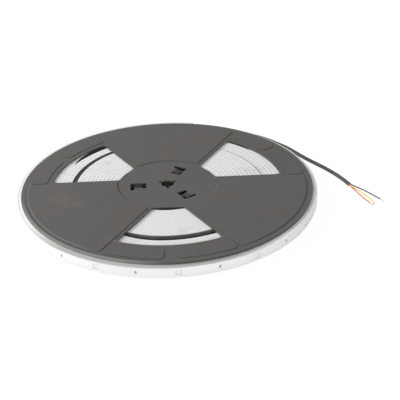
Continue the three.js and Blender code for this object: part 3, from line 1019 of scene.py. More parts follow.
@dataclass
class Flange:
    """One moulded flange: plate, raised fields, snap tongues and gate marks."""

    name: str
    face_z: float
    turned_over: bool
    material: bpy.types.Material
    radius: float = 145 * MM
    wall: float = 1.5 * MM
    rise: float = 0.6 * MM
    root: float = 0.3 * MM
    window_radius: float = 116 * MM
    window_inset: float = 10.7 * MM
    panel_radius: float = 138.5 * MM
    panel_inset: float = 7 * MM
    hub_radius: float = 50 * MM
    arc_radius: float = 121.5 * MM
    arc_from: float = 2.5
    arc_to: float = 26
    arbor_radius: float = 6.5 * MM
    key_width: float = 2.4 * MM
    key_reach: float = 10 * MM
    slot_inner: float = 21.4 * MM
    slot_outer: float = 37 * MM
    slot_far: float = -2.8 * MM
    slot_leg: float = 3.8 * MM
    inner_leg: float = 8 * MM
    outer_leg: float = 11.2 * MM
    tongue_tip: float = 0.8 * MM
    tongue_bend: float = 9 * MM
    tongue_drop: float = 1.9 * MM
    tongue_overlap: float = 0.3 * MM
    tongue_thinning: float = 0.3 * MM
    windows: tuple[float, ...] = (30, 150, 270)
    snaps: tuple[float, ...] = (60, 180, 300)
    gate_radius: float = 82.5 * MM
    gate_width: float = 1.8 * MM
    gate_height: float = 0.7 * MM
    gate_rim: float = 0.3 * MM
    gate_lip: float = 0.08 * MM
    rim_steps: int = 240
    edge: float = 0.22 * MM

    @staticmethod
    def _arc(radius: float, start: float, end: float, step: float = 2) -> list[Vector]:
        """Return the points of an arc between two angles in degrees."""
        count = max(1, round(abs(end - start) / step))
        return [polar(radius, start + (end - start) * i / count) for i in range(count + 1)]

    @staticmethod
    def _bend(start: Vector, corner: Vector, end: Vector, count: int = 6) -> list[Vector]:
        """Return the points of a rounded corner."""
        shares = [i / count for i in range(count + 1)]
        return [
            start * (1 - t) ** 2 + corner * 2 * t * (1 - t) + end * t**2 for t in shares
        ]

    def _sector(
        self,
        radii: Point,
        corners: Point,
        side: Callable[[float], float],
        angle: float,
        straight: bool = False,
    ) -> list[Vector]:
        """Return the outline between two arcs and two sides.

        Args:
            radii: Inner and outer radius.
            corners: Corner sizes at the inner and the outer arc.
            side: Gives the side's angle at a radius, in degrees from the middle.
            angle: Angle of the middle.
            straight: Whether the inner edge is straight instead of an arc.

        Returns:
            The outline's points.
        """
        inner, outer = radii
        inner_cut = math.degrees(corners[0] / inner)
        outer_cut = math.degrees(corners[1] / outer)
        inner_side, outer_side = side(inner), side(outer)
        above, below = inner + corners[0], outer - corners[1]
        turn_out = self._bend(
            polar(outer, outer_side - outer_cut),
            polar(outer, outer_side),
            polar(below, side(below)),
        )
        last = polar(inner, inner_side - inner_cut)
        middle = self._arc(inner, inner_side - inner_cut, 0)[1:]
        if straight:
            last = polar(inner, inner_side) - Vector((0, corners[0]))
            middle = [Vector((last.x, 0))]
        turn_in = self._bend(polar(above, side(above)), polar(inner, inner_side), last)
        half = [polar(outer, 0)]
        half += self._arc(outer, 0, outer_side - outer_cut)[1:]
        half += turn_out[1:] + turn_in + middle
        mirrored = [Vector((p.x, -p.y)) for p in reversed(half[1:-1])]
        turn = Matrix.Rotation(math.radians(angle), 2)
        return [turn @ p for p in half + mirrored]

    @staticmethod
    def _beside(inset: float) -> Callable[[float], float]:
        """Return the angle of a side that runs beside the radial line at 30 degrees."""
        return lambda radius: 30 - math.degrees(math.asin(inset / radius))

    def _window(self, angle: float) -> list[Vector]:
        """Return a window's outline.

        Args:
            angle: Angle of its middle.

        Returns:
            The outline's points.
        """
        radii = (self.hub_radius, self.window_radius)
        side = self._beside(self.window_inset)
        return self._sector(radii, (2 * MM, 6 * MM), side, angle, straight=True)

    def _panel(self, angle: float) -> list[Vector]:
        """Return a raised panel's outline."""
        radii = (self.hub_radius, self.panel_radius)
        return self._sector(radii, (2 * MM, 6 * MM), self._beside(-self.panel_inset), angle)

    def _rim_arc(self, angle: float) -> list[Vector]:
        """Return a raised rim arc's outline.

        Args:
            angle: Angle of its middle.

        Returns:
            The outline's points.
        """
        half = (self.arc_to - self.arc_from) / 2
        radii = (self.arc_radius, self.panel_radius)
        return self._sector(radii, (5 * MM, 5 * MM), lambda _: half, angle)

    def _arbor(self) -> list[Vector]:
        """Return the arbor hole's outline with its keyways."""
        foot = math.degrees(math.asin(self.key_width / 2 / self.arbor_radius))
        end = math.degrees(math.asin(self.key_width / 2 / self.key_reach))
        outline = []
        for angle in self.windows:
            outline += [polar(self.key_reach, angle - end), polar(self.key_reach, angle + end)]
            outline += self._arc(self.arbor_radius, angle + foot, angle + 120 - foot, 6)
        return outline

    def _slot(self, angle: float) -> list[Vector]:
        """Return a snap slot's outline.

        Args:
            angle: Angle of the slot.

        Returns:
            The outline's points.
        """
        tongue_in = self.slot_inner + self.slot_leg
        tongue_out = self.slot_outer - self.slot_leg
        corners = [
            (self.slot_inner, self.slot_far),
            (self.slot_outer, self.slot_far),
            (self.slot_outer, self.outer_leg),
            (tongue_out, self.outer_leg),
            (tongue_in, self.inner_leg),
            (self.slot_inner, self.inner_leg),
        ]
        turn = Matrix.Rotation(math.radians(angle), 2)
        return [turn @ Vector(corner) for corner in corners]

    def _tongue(self, angle: float) -> bpy.types.Object:
        """Model a snap tongue that slopes down to its free end, and return it.

        Args:
            angle: Angle of its slot.

        Returns:
            The tongue.
        """
        inner = self.slot_inner + self.slot_leg
        outer = self.slot_outer - self.slot_leg
        root = self.outer_leg + self.tongue_overlap
        middle = ((inner + outer) / 2, (root + self.tongue_tip) / 2, -self.wall / 2)
        size = (outer - inner, root - self.tongue_tip, self.wall)
        piece = Bench.block("snap_tongue", size, middle)
        Bench.open_all(piece)
        bpy.ops.mesh.bisect(plane_co=(0, self.tongue_bend, 0), plane_no=(0, 1, 0))
        near_tip = self.tongue_tip + 0.1 * MM
        low = -self.tongue_drop - self.wall / 2
        Bench.select_vertices(piece, lambda co: co.y < near_tip)
        bpy.ops.transform.translate(value=(0, 0, -self.tongue_drop))
        Bench.select_vertices(piece, lambda co: co.y < near_tip and co.z < low)
        bpy.ops.transform.translate(value=(0, 0, self.tongue_thinning))
        bpy.ops.object.mode_set(mode="OBJECT")
        piece.rotation_euler.z = math.radians(angle)
        return Bench.settle(piece, "snap_tongue")

    def _gate_mark(self, angle: float) -> bpy.types.Object:
        """Model the broken-off stub of a mould gate on a panel, and return it.

        Args:
            angle: Angle of the panel's middle.

        Returns:
            The stub.
        """
        Bench.clear()
        spot = polar(self.gate_radius, angle)
        bpy.ops.mesh.primitive_cylinder_add(
            vertices=20,
            radius=self.gate_width / 2,
            depth=self.gate_height,
            location=(*spot, self.rise),
        )
        piece = Bench.settle(bpy.context.object, "gate_mark")
        Bench.select_faces(piece, lambda centre, normal: normal.z > 0.9)
        bpy.ops.mesh.inset(thickness=self.gate_rim, depth=self.gate_lip)
        bpy.ops.object.mode_set(mode="OBJECT")
        return piece

    def _fields(self) -> list[bpy.types.Object]:
        """Model all that the plate carries and return it."""
        fields = []
        for angle in self.windows:
            across = angle + 60
            fields.append(Bench.plate("panel", [self._panel(across)], -self.root, self.rise))
            for side in (-1, 1):
                outline = self._rim_arc(angle + side * (self.arc_from + self.arc_to) / 2)
                fields.append(Bench.plate("rim_arc", [outline], -self.root, self.rise))
            if not self.turned_over:
                fields.append(self._gate_mark(across))
        return fields + [self._tongue(angle) for angle in self.snaps]

    def build(self) -> bpy.types.Object:
        """Model the flange, dress it and return it."""
        step = 360 / self.rim_steps
        circle = [polar(self.radius, step * i) for i in range(self.rim_steps)]
        outlines = [circle, self._arbor()]
        outlines += [self._window(angle) for angle in self.windows]
        outlines += [self._slot(angle) for angle in self.snaps]
        piece = Bench.plate(self.name, outlines, -self.wall, 0)
        Bench.combine(piece, self._fields(), Cut.JOIN)
        Bench.close(piece, 5e-6)
        Bench.round_edges(piece, self.edge)
        if self.turned_over:
            piece.rotation_euler.y = math.pi
        piece.location.z = self.face_z
        Bench.settle(piece, self.name)
        Bench.smooth(piece, level=True)
        node = self.name.removesuffix("_moulding")
        return dress(piece, "reel_plastic", [node], self.material)


@dataclass
class HubWebs:
    """The hub's flat webs behind the lower flange's snap slots."""

    material: bpy.types.Material
    inner: float = 16 * MM
    outer: float = 48 * MM
    beside: Point = (-13.5 * MM, 5.5 * MM)
    low: float = 4.4 * MM
    high: float = 5.2 * MM
    angles: tuple[float, ...] = (0, 120, 240)

    def build(self) -> None:
        """Model the webs and dress them."""
        for number, angle in enumerate(self.angles, 1):
            turn = Matrix.Rotation(math.radians(angle), 2)
            near = [Vector((x, self.beside[0])) for x in (self.inner, self.outer)]
            far = [Vector((x, self.beside[1])) for x in (self.outer, self.inner)]
            outline = [turn @ corner for corner in near + far]
            web = Bench.plate(f"hub_web_{number}", [outline], self.low, self.high)
            Bench.round_edges(web, 0.2 * MM)
            Bench.smooth(web, level=True)
            dress(web, "reel_plastic", [], self.material)


# Wound strip


@dataclass(frozen=True)
class Winding:
    """The spiral that both strips and the lead between them follow, clockwise from above."""

    hub_radius: float = 50 * MM
    seat_gap: float = 0.3 * MM
    pitch: float = 4 * MM
    thickness: float = 3.3 * MM
    start_angle: float = 325
    inner_turns: int = 11
    lead_arc: float = 225
    outer_turns: int = 13
    outer_extra: float = 18
    climb: Point = (0.86, 0.965)
    easing_turns: float = 8
    slack_share: float = 0.14
    slack_after: int = 3
    slack_rise: Point = (170, 192)
    slack_fall: Point = (240, 267)
    front_swell: float = 2.4 * MM
    front_span: Span = (238, 265, 298, 340)
    left_sink: float = 3 * MM
    left_span: Span = (115, 175, 190, 230)
    lead_room: float = 4 * MM
    lead_span: Span = (222, 260, 298, 340)

    @property
    def inner_end(self) -> float:
        """Degrees wound at the inner strip's end."""
        return self.inner_turns * 360.0

    @property
    def outer_start(self) -> float:
        """Degrees wound at the outer strip's start."""
        return self.inner_end + self.lead_arc

    @property
    def outer_end(self) -> float:
        """Degrees wound at the outer strip's end."""
        return self.outer_start + self.outer_turns * 360 + self.outer_extra

    def angle(self, wound: float) -> float:
        """Return the angle round the axis at a place on the winding."""
        return self.start_angle - wound

    def _slack(self, wound: float) -> float:
        """Return how far the turns are pressed together or apart at a place.

        Args:
            wound: Degrees wound.

        Returns:
            The shift outward.
        """
        if wound < self.outer_start:
            return 0.0
        around = wound % 360
        rise = smooth_step(*self.slack_rise, around)
        fall = smooth_step(*self.slack_fall, around)
        turn = math.floor(wound / 360) - self.inner_turns
        squeezed = min(0, 1 - turn) if turn <= self.slack_after else self.outer_turns - turn
        return squeezed * self.pitch * self.slack_share * rise * (1 - fall)

    def _spread(self, wound: float) -> float:
        """Return how far the roll swells or sinks at a place, and leaves room for the lead.

        Args:
            wound: Degrees wound.

        Returns:
            The shift outward.
        """
        angle = self.angle(wound) % 360
        swell = self.front_swell * within(self.front_span, angle)
        sink = self.left_sink * within(self.left_span, angle)
        if wound <= self.inner_end:
            return (swell - sink) * wound / self.inner_end
        room = self.lead_room * within(self.lead_span, angle)
        outward = min(1.0, (self.outer_end - wound) / (self.outer_end - self.outer_start))
        return (swell - sink + room) * outward

    def inner_face(self, wound: float) -> float:
        """Return the radius of the strip's inner face at a place on the winding.

        Args:
            wound: Degrees wound.

        Returns:
            The radius.
        """
        whole = math.floor(wound / 360)
        share = wound / 360 - whole
        seated = smooth_step(*self.climb, share)
        easing = min(1.0, wound / (self.easing_turns * 360))
        below = whole + seated + (share - seated) * easing
        evenly = self.hub_radius + self.seat_gap + self.pitch * below
        return evenly + self._slack(wound) + self._spread(wound)

    def outer_face(self, wound: float) -> float:
        """Return the radius of the strip's outer face at a place on the winding."""
        return self.inner_face(wound) + self.thickness


@dataclass
class StripRoll:
    """A length of sleeved strip wound as one solid spiral."""

    name: str
    start: float
    end: float
    winding: Winding
    material: bpy.types.Material
    # Painted shade for the sides that face a gap.
    painted_back_shade: bpy.types.Material
    step: float = 3
    corner: float = 0.16 * MM
    corner_parts: int = 2
    seam: float = 0.05 * MM
    open_room: float = 1.6 * MM
    most_growth: float = 1.5 * MM

    def _room_below(self, wound: float) -> float:
        """Return the room between a turn's inner face and the turn below it."""
        return self.winding.inner_face(wound) - self.winding.outer_face(wound - 360)

    def _growth(self, wound: float) -> float:
        """Return how far the soft sleeve fills the room down to the turn below it.

        Args:
            wound: Degrees wound.

        Returns:
            The growth inward.
        """
        below = wound - 360
        if below <= self.start:
            return 0.0
        room = self._room_below(wound)
        filled = min(self.most_growth, max(0.0, room - self.seam))
        seated = smooth_step(self.start, self.start + 20, below)
        return filled * seated * (1 - smooth_step(self.open_room, 1.5 * self.open_room, room))

    def _ring(self, wound: float) -> list[Place]:
        """Return the sleeve's section at a place on the winding.

        Args:
            wound: Degrees wound.

        Returns:
            The section's points.
        """
        inner = self.winding.inner_face(wound) - self._growth(wound)
        outer = self.winding.outer_face(wound)
        half = ((outer - inner) / 2, (STRIP_TOP_Z - STRIP_BOTTOM_Z) / 2)
        angle = self.winding.angle(wound)
        ring = []
        for quarter, (sx, sy) in enumerate([(1, 1), (-1, 1), (-1, -1), (1, -1)]):
            centre = Vector((sx * (half[0] - self.corner), sy * (half[1] - self.corner)))
            for part in range(self.corner_parts + 1):
                place = centre + polar(self.corner, 90 * (quarter + part / self.corner_parts))
                radius = (inner + outer) / 2 + place.x
                ring.append((*polar(radius, angle), MIDDLE_Z + place.y))
        return ring

    def shape(self) -> bpy.types.Object:
        """Lay the sections along the winding and return the roll."""
        length = self.end - self.start
        count = round(length / self.step)
        rings = [self._ring(self.start + length * i / count) for i in range(count + 1)]
        size = len(rings[0])
        corners = [place for ring in rings for place in ring]
        faces = [tuple(range(size)), tuple(range(count * size, (count + 1) * size))]
        for i in range(count):
            for j in range(size):
                here, there = i * size + j, i * size + (j + 1) % size
                faces.append((here, there, there + size, here + size))
        mesh = bpy.data.meshes.new(self.name)
        mesh.from_pydata(corners, [], faces)
        piece = bpy.data.objects.new(self.name, mesh)
        bpy.context.scene.collection.objects.link(piece)
        Bench.close(piece, 1e-7, flat=False)
        return piece

    def _open(self, place: Vector) -> bool:
        """Say whether the side of a turn at a place faces a gap.

        Args:
            place: Place on the side that faces the hub.

        Returns:
            Whether it does.
        """
        radius = place.xy.length
        angle = math.degrees(math.atan2(place.y, place.x))
        around = (self.winding.start_angle - angle) % 360
        first = math.ceil((self.start - around) / 360)
        last = math.floor((self.end - around) / 360)
        passes = [around + 360 * turn for turn in range(first, last + 1)]
        wound = min(passes, key=lambda one: abs(self.winding.inner_face(one) - radius))
        return wound - 360 < self.start or self._room_below(wound) > self.open_room

    def _mark_painted_back_shade(self, piece: bpy.types.Object) -> None:
        """Give the second material, the painted shade, to the sides that face the hub across a
        gap.

        Args:
            piece: The roll, with both materials.
        """
        for face in piece.data.polygons:
            inward = face.center.x * face.normal.x + face.center.y * face.normal.y < 0
            upright = abs(face.normal.z) < 0.3
            face.material_index = int(inward and upright and self._open(face.center))

    def build(self, pockets: Sequence[bpy.types.Object] = ()) -> bpy.types.Object:
        """Model the roll, cut its pockets, dress it and return it.

        Args:
            pockets: Blocks that are cut from the outer face.

        Returns:
            The roll.
        """
        piece = self.shape()
        if pockets:
            Bench.combine(piece, [Bench.join("pockets", pockets)], Cut.REMOVE)
        Bench.settle(piece, self.name)
        Bench.smooth(piece, 50)
        node = self.name.replace("_turns", "_roll")
        dress(piece, "strip_silicone", [node], self.material, self.painted_back_shade)
        self._mark_painted_back_shade(piece)
        return piece


@dataclass
class EndCap:
    """A moulded silicone cap on a strip's end, bent to its turn."""

    name: str
    end_wound: float
    direction: int
    winding: Winding
    material: bpy.types.Material
    length: float = 10.4 * MM
    extra: float = 0.1 * MM
    gap: float = 0.3 * MM
    edge: float = 0.7 * MM

    def build(self) -> bpy.types.Object:
        """Model the cap, dress it and return it."""
        inner = self.winding.inner_face(self.end_wound)
        outer = self.winding.outer_face(self.end_wound) + self.extra
        gap = self.direction * math.degrees(self.gap / inner)
        start = self.winding.angle(self.end_wound) - gap
        sweep = -self.direction * self.length / inner
        Bench.clear()
        bpy.ops.mesh.primitive_plane_add(size=1, rotation=(math.pi / 2, 0, 0))
        piece = bpy.context.object
        piece.scale = (outer - inner, STRIP_TOP_Z - STRIP_BOTTOM_Z, 1)
        piece.location = ((inner + outer) / 2, 0, MIDDLE_Z)
        Bench.settle(piece, self.name)
        piece.rotation_euler.z = math.radians(start)
        Bench.settle(piece, self.name)
        Bench.open_all(piece)
        bpy.ops.mesh.spin(steps=8, angle=-sweep, center=(0, 0, 0), axis=(0, 0, 1))
        Bench.close(piece)
        Bench.round_edges(piece, self.edge, 4, 50)
        Bench.smooth(piece, 50)
        node = self.name.removesuffix("_moulding")
        return dress(piece, "cap_silicone", [node], self.material)


@dataclass
class LightParts:
    """The light packages and chip resistors in the outermost turn's face."""

    winding: Winding
    housing: bpy.types.Material
    lens: bpy.types.Material
    metal: bpy.types.Material
    chip: bpy.types.Material
    pitch: float = 75.2 * MM
    first_angle: float = 102.4
    count: int = 12
    light_size: float = 5 * MM
    light_depth: float = 1.4 * MM
    resistor_width: float = 1.6 * MM
    resistor_height: float = 3.2 * MM
    resistor_depth: float = 0.6 * MM
    sink: float = 0.25 * MM
    clearance: float = 0.3 * MM
    overshoot: float = 2 * MM
    seam: float = 0.1 * MM
    well_radius: float = 1.95 * MM
    well_depth: float = 0.25 * MM
    lens_radius: float = 1.93 * MM
    lens_crown: float = 0.09
    lens_sink: float = 0.2 * MM
    leg_size: Place = (0.9 * MM, 0.3 * MM, 0.8 * MM)
    leg_pitch: float = 1.6 * MM
    end_width: float = 0.4 * MM
    end_overlap: float = 0.02 * MM
    end_growth: float = 0.03 * MM
    lights: list[float] = field(default_factory=list)
    resistors: list[float] = field(default_factory=list)

    def __post_init__(self) -> None:
        """Work out where on the winding each part sits."""
        end = self.winding.outer_end
        first = end - (self.first_angle - self.winding.angle(end)) % 360
        step = math.degrees(self.pitch / self.winding.outer_face(first))
        self.lights = [first - i * step for i in range(self.count)]
        self.resistors = [wound - step / 2 for wound in self.lights]

    def _block(self, wound: float, size: Place, outside: float) -> bpy.types.Object:
        """Add a block square to the radius.

        Args:
            wound: Degrees wound at its middle.
            size: Its depth, width and height.
            outside: Distance of its outer side inward from the strip's face.

        Returns:
            The block.
        """
        radius = self.winding.outer_face(wound) - outside - size[0] / 2
        block = Bench.block("block", size, (radius, 0, MIDDLE_Z))
        block.rotation_euler.z = math.radians(self.winding.angle(wound))
        return Bench.settle(block, "block")

    def pockets(self) -> list[bpy.types.Object]:
        """Return the blocks that clear a pocket for each part in the roll's face."""
        blocks = []
        sizes = [
            (self.lights, self.light_size, self.light_size, self.light_depth),
            (self.resistors, self.resistor_width, self.resistor_height, self.resistor_depth),
        ]
        across = 2 * self.seam
        for places, width, height, depth in sizes:
            deep = depth + self.clearance + self.overshoot
            grown = (deep, width + across, height + across)
            for wound in places:
                blocks.append(self._block(wound, grown, self.sink - self.overshoot))
        return blocks

    def _model_light(self) -> bpy.types.Object:
        """Model one light package at the origin, facing +X, and return it."""
        size, depth = self.light_size, self.light_depth
        body = Bench.block("package", (depth, size, size), (-depth / 2, 0, 0))
        Bench.round_edges(body, 0.18 * MM)
        Bench.clear()
        bpy.ops.mesh.primitive_cylinder_add(
            vertices=40,
            radius=self.well_radius,
            depth=2 * self.well_depth,
            rotation=(0, math.pi / 2, 0),
        )
        well = Bench.settle(bpy.context.object, "well")
        Bench.combine(body, [well], Cut.REMOVE)
        Bench.smooth(body, 35)
        body.data.materials.append(self.housing)
        Bench.clear()
        bpy.ops.mesh.primitive_uv_sphere_add(
            segments=32, ring_count=16, radius=self.lens_radius
        )
        lens = bpy.context.object
        lens.scale = (self.lens_crown, 1, 1)
        lens.location = (-self.lens_sink, 0, 0)
        Bench.settle(lens, "lens")
        Bench.smooth(lens, 60)
        lens.data.materials.append(self.lens)
        legs = []
        for side in (-1, 1):
            for row in (-1, 0, 1):
                middle = (self.leg_size[0] / 2 - depth, side * size / 2, row * self.leg_pitch)
                leg = Bench.block("leg", self.leg_size, middle)
                Bench.round_edges(leg, 0.06 * MM, 1)
                leg.data.materials.append(self.metal)
                legs.append(leg)
        return Bench.join("light_package", [body, lens, *legs])

    def _model_resistor(self) -> bpy.types.Object:
        """Model one chip resistor at the origin, facing +X, and return it."""
        width, depth = self.resistor_width, self.resistor_depth
        end = self.resistor_height / 2
        chip = end - self.end_width
        inner = chip - self.end_overlap
        parts = []
        for low, high, grow, material in (
            (-chip, chip, 0, self.chip),
            (-end, -inner, self.end_growth, self.metal),
            (inner, end, self.end_growth, self.metal),
        ):
            size = (depth + grow, width + grow, high - low)
            part = Bench.block("chip", size, (-depth / 2, 0, (low + high) / 2))
            Bench.round_edges(part, 0.07 * MM)
            Bench.smooth(part, 35)
            part.data.materials.append(material)
            parts.append(part)
        return Bench.join("chip_resistor", parts)

    def _copies(
        self, model: bpy.types.Object, places: Sequence[float], tag: str, slot: str
    ) -> None:
        """Place a copy of a model at each place, dress the copies and delete the model.

        Args:
            model: Piece at the origin, facing +X.
            places: Degrees wound.
            tag: Name of the nodes that the copies stand for, without a number.
            slot: Material slot of the record.
        """
        for i, wound in enumerate(places):
            copy = model.copy()
            copy.data = model.data.copy()
            bpy.context.scene.collection.objects.link(copy)
            radius = self.winding.outer_face(wound) - self.sink
            angle = self.winding.angle(wound)
            copy.rotation_euler.z = math.radians(angle)
            copy.location = (*polar(radius, angle), MIDDLE_Z)
            Bench.settle(copy, f"{tag}_part_{i + 1:02d}")
            dress(copy, slot, [f"{tag}_{i + 1:02d}"])
        bpy.data.objects.remove(model)

    def build(self) -> None:
        """Model, copy and dress the light packages and the chip resistors."""
        self._copies(self._model_light(), self.lights, "light_package", "light_package")
        self._copies(self._model_resistor(), self.resistors, "chip_resistor", "chip_resistor")


# Leads


@dataclass(frozen=True)
class CoreRoute:
    """The route of one bare core and its tinned tip, in millimetres."""

    colour: str
    core: tuple[Place, ...]
    tip: tuple[Place, ...]


def metres(places: Sequence[Place]) -> list[Place]:
    """Return places in metres for places in millimetres."""
    return [(x * MM, y * MM, z * MM) for x, y, z in places]


LEAD_ROUTE: tuple[Place, ...] = (
    (46.8, 144.0, 7.4), (57.8, 139.8, 7.5), (68.6, 135.0, 7.7), (79.0, 129.2, 8.0),
    (88.8, 122.7, 8.4), (98.1, 115.4, 8.8), (106.8, 107.5, 9.3), (114.9, 98.8, 9.7),
    (122.2, 89.5, 10.0), (129.5, 80.2, 10.2), (136.3, 70.5, 9.9), (142.8, 60.7, 9.3),
    (150.0, 51.4, 8.4), (158.0, 42.7, 7.2), (166.1, 34.2, 5.8), (173.6, 25.2, 4.3),
    (180.0, 15.4, 3.0), (185.2, 4.8, 2.1),
)

CORE_ROUTES: tuple[CoreRoute, ...] = (
    CoreRoute(
        "black",
        (
            (186.0, 4.9, 2.5), (188.1, 3.0, 2.1), (190.2, 1.2, 1.7), (192.4, -0.6, 1.3),
            (194.4, -2.6, 1.1), (196.4, -4.6, 0.9), (198.3, -6.7, 0.8), (200.0, -9.0, 0.7),
            (201.6, -11.3, 0.7), (203.1, -13.7, 0.7), (204.6, -16.1, 0.7), (206.1, -18.5, 0.7),
            (207.6, -21.0, 0.7), (209.1, -23.4, 0.7), (210.6, -25.8, 0.7),
        ),
        ((210.8, -25.9, 0.7), (211.9, -28.8, 0.6), (212.6, -32.1, 0.5)),
    ),
    CoreRoute(
        "yellow",
        (
            (185.4, 4.5, 1.2), (186.9, 2.2, 1.0), (188.5, -0.2, 0.9), (190.1, -2.4, 0.8),
            (191.6, -4.8, 0.7), (193.0, -7.2, 0.7), (194.3, -9.7, 0.7), (195.5, -12.2, 0.7),
            (196.7, -14.7, 0.7), (197.8, -17.3, 0.7), (198.9, -19.9, 0.7), (199.9, -22.5, 0.7),
            (200.7, -25.1, 0.7), (201.5, -27.8, 0.7), (202.3, -30.5, 0.7),
        ),
        ((202.4, -30.9, 0.7), (202.3, -33.2, 0.6), (201.6, -35.8, 0.5)),
    ),
    CoreRoute(
        "red",
        (
            (184.7, 4.2, 2.5), (185.7, 1.6, 2.1), (186.7, -0.9, 1.7), (187.8, -3.5, 1.4),
            (188.9, -6.0, 1.1), (189.9, -8.6, 0.9), (190.8, -11.2, 0.8), (191.8, -13.8, 0.7),
            (192.6, -16.5, 0.7), (193.4, -19.1, 0.7), (194.2, -21.8, 0.7), (195.2, -24.4, 0.7),
            (196.3, -26.9, 0.7), (197.5, -29.5, 0.7), (198.6, -32.0, 0.7),
        ),
        ((198.8, -32.3, 0.7), (199.5, -34.6, 0.6), (199.9, -37.2, 0.5)),
    ),
)


@dataclass
class Lead:
    """A three-core lead: jacket, cores and tinned tips."""

    jacket: bpy.types.Material
    tin: bpy.types.Material
    cores: dict[str, bpy.types.Material]
    diameter: float = 3.8 * MM
    core_diameter: float = 1.2 * MM
    tip_diameter: float = 0.8 * MM
    strands: int = 7
    strand_steps: int = 12
    strand_turns: float = 1.6
    splay: float = 0.25

    def twisted_tip(self, name: str, places: Sequence[Place]) -> bpy.types.Object:
        """Model a tinned tip of seven twisted strands.

        Args:
            name: Name of the tip.
            places: Points that its middle follows.

        Returns:
            The tip as a mesh.
        """
        thickness = self.tip_diameter / 3
        around = self.strands - 1
        line = [Vector(place) for place in places]
        last = len(line) - 1
        strands = []
        for index in range(self.strands):
            points = []
            for i in range(self.strand_steps + 1):
                share = i / self.strand_steps
                low = min(int(share * last), last - 1)
                middle = line[low].lerp(line[low + 1], share * last - low)
                along = (line[low + 1] - line[low]).normalized()
                across = along.cross(Vector((0, 0, 1))).normalized()
                up = across.cross(along)
                angle = math.tau * (index / around + share * self.strand_turns)
                orbit = 0 if index == around else thickness * (1 + self.splay * share)
                shift = across * math.cos(angle) + up * math.sin(angle)
                points.append(tuple(middle + shift * orbit))
            rod = Bench.rod(f"strand_{index}", points, thickness * 1.04, 8)
            strands.append(Bench.to_mesh(rod))
        tip = Bench.join(name, strands)
        Bench.smooth(tip, 60)
        return tip


@dataclass
class OuterLead(Lead):
    """The free lead that runs round the roll and down to the surface."""

    boot_radii: Point = (2.5 * MM, 2.1 * MM)
    boot_gap: float = 0.2 * MM
    grooves: int = 5
    groove_share: float = 0.12
    groove_width: float = 0.93
    core_start: Place = (-0.35 * MM, 0.9 * MM, 0.1 * MM)

    def _boot(self) -> bpy.types.Object:
        """Model the tapered strain relief at the lead's cap and return it."""
        low, high = (Vector(corner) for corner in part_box("outer_lead_boot"))
        middle = (low + high) / 2
        start = Vector(LEAD_ROUTE[0]) * MM
        half = Vector((start.x - middle.x, start.y - middle.y, 0))
        length = 2 * half.length
        Bench.clear()
        bpy.ops.mesh.primitive_cone_add(
            vertices=32,
            radius1=self.boot_radii[0],
            radius2=self.boot_radii[1],
            depth=length - 2 * self.boot_gap,
        )
        piece = Bench.settle(bpy.context.object, "outer_lead_relief")
        groove = self.groove_share * length
        first = -groove * self.grooves / 2
        for i in range(self.grooves + 1):
            Bench.open_all(piece)
            bpy.ops.mesh.bisect(plane_co=(0, 0, first + groove * i), plane_no=(0, 0, 1))
        bpy.ops.object.mode_set(mode="OBJECT")

        def grooved(co: Vector) -> bool:
            """Say whether a ring of the boot is pressed in: every second one."""
            ring = round((co.z - first) / groove)
            return ring % 2 == 1 and 0 <= ring <= self.grooves

        Bench.select_vertices(piece, grooved)
        bpy.ops.transform.resize(value=(self.groove_width, self.groove_width, 1))
        bpy.ops.object.mode_set(mode="OBJECT")
        Bench.round_edges(piece, 0.12 * MM, 2, 8)
        piece.rotation_mode = "QUATERNION"
        piece.rotation_quaternion = half.to_track_quat("Z", "Y")
        piece.location = middle
        Bench.settle(piece, "outer_lead_relief")
        Bench.smooth(piece, 40)
        return dress(piece, "lead_jacket", ["outer_lead_boot"], self.jacket)

    def build(self) -> None:
        boot = self._boot()
        jacket = Bench.rod("outer_lead", metres(LEAD_ROUTE), self.diameter, 24)
        dress(jacket, "lead_jacket", ["outer_lead_jacket"], self.jacket)
        end = Vector(metres(LEAD_ROUTE)[-1])
        for route in CORE_ROUTES:
            places = metres(route.core)
            inside = end.lerp(Vector(places[0]), 0.35) + Vector(self.core_start)
            colour = route.colour
            points = [tuple(inside), *places]
            core = Bench.rod(f"outer_{colour}_core", points, self.core_diameter, 16)
            dress(core, f"core_{colour}", [f"outer_core_{colour}"], self.cores[colour])
            tip = self.twisted_tip(f"outer_{colour}_tip", [places[-1], *metres(route.tip)])
            dress(tip, "tinned_wire", [f"outer_tinned_end_{colour}"], self.tin)


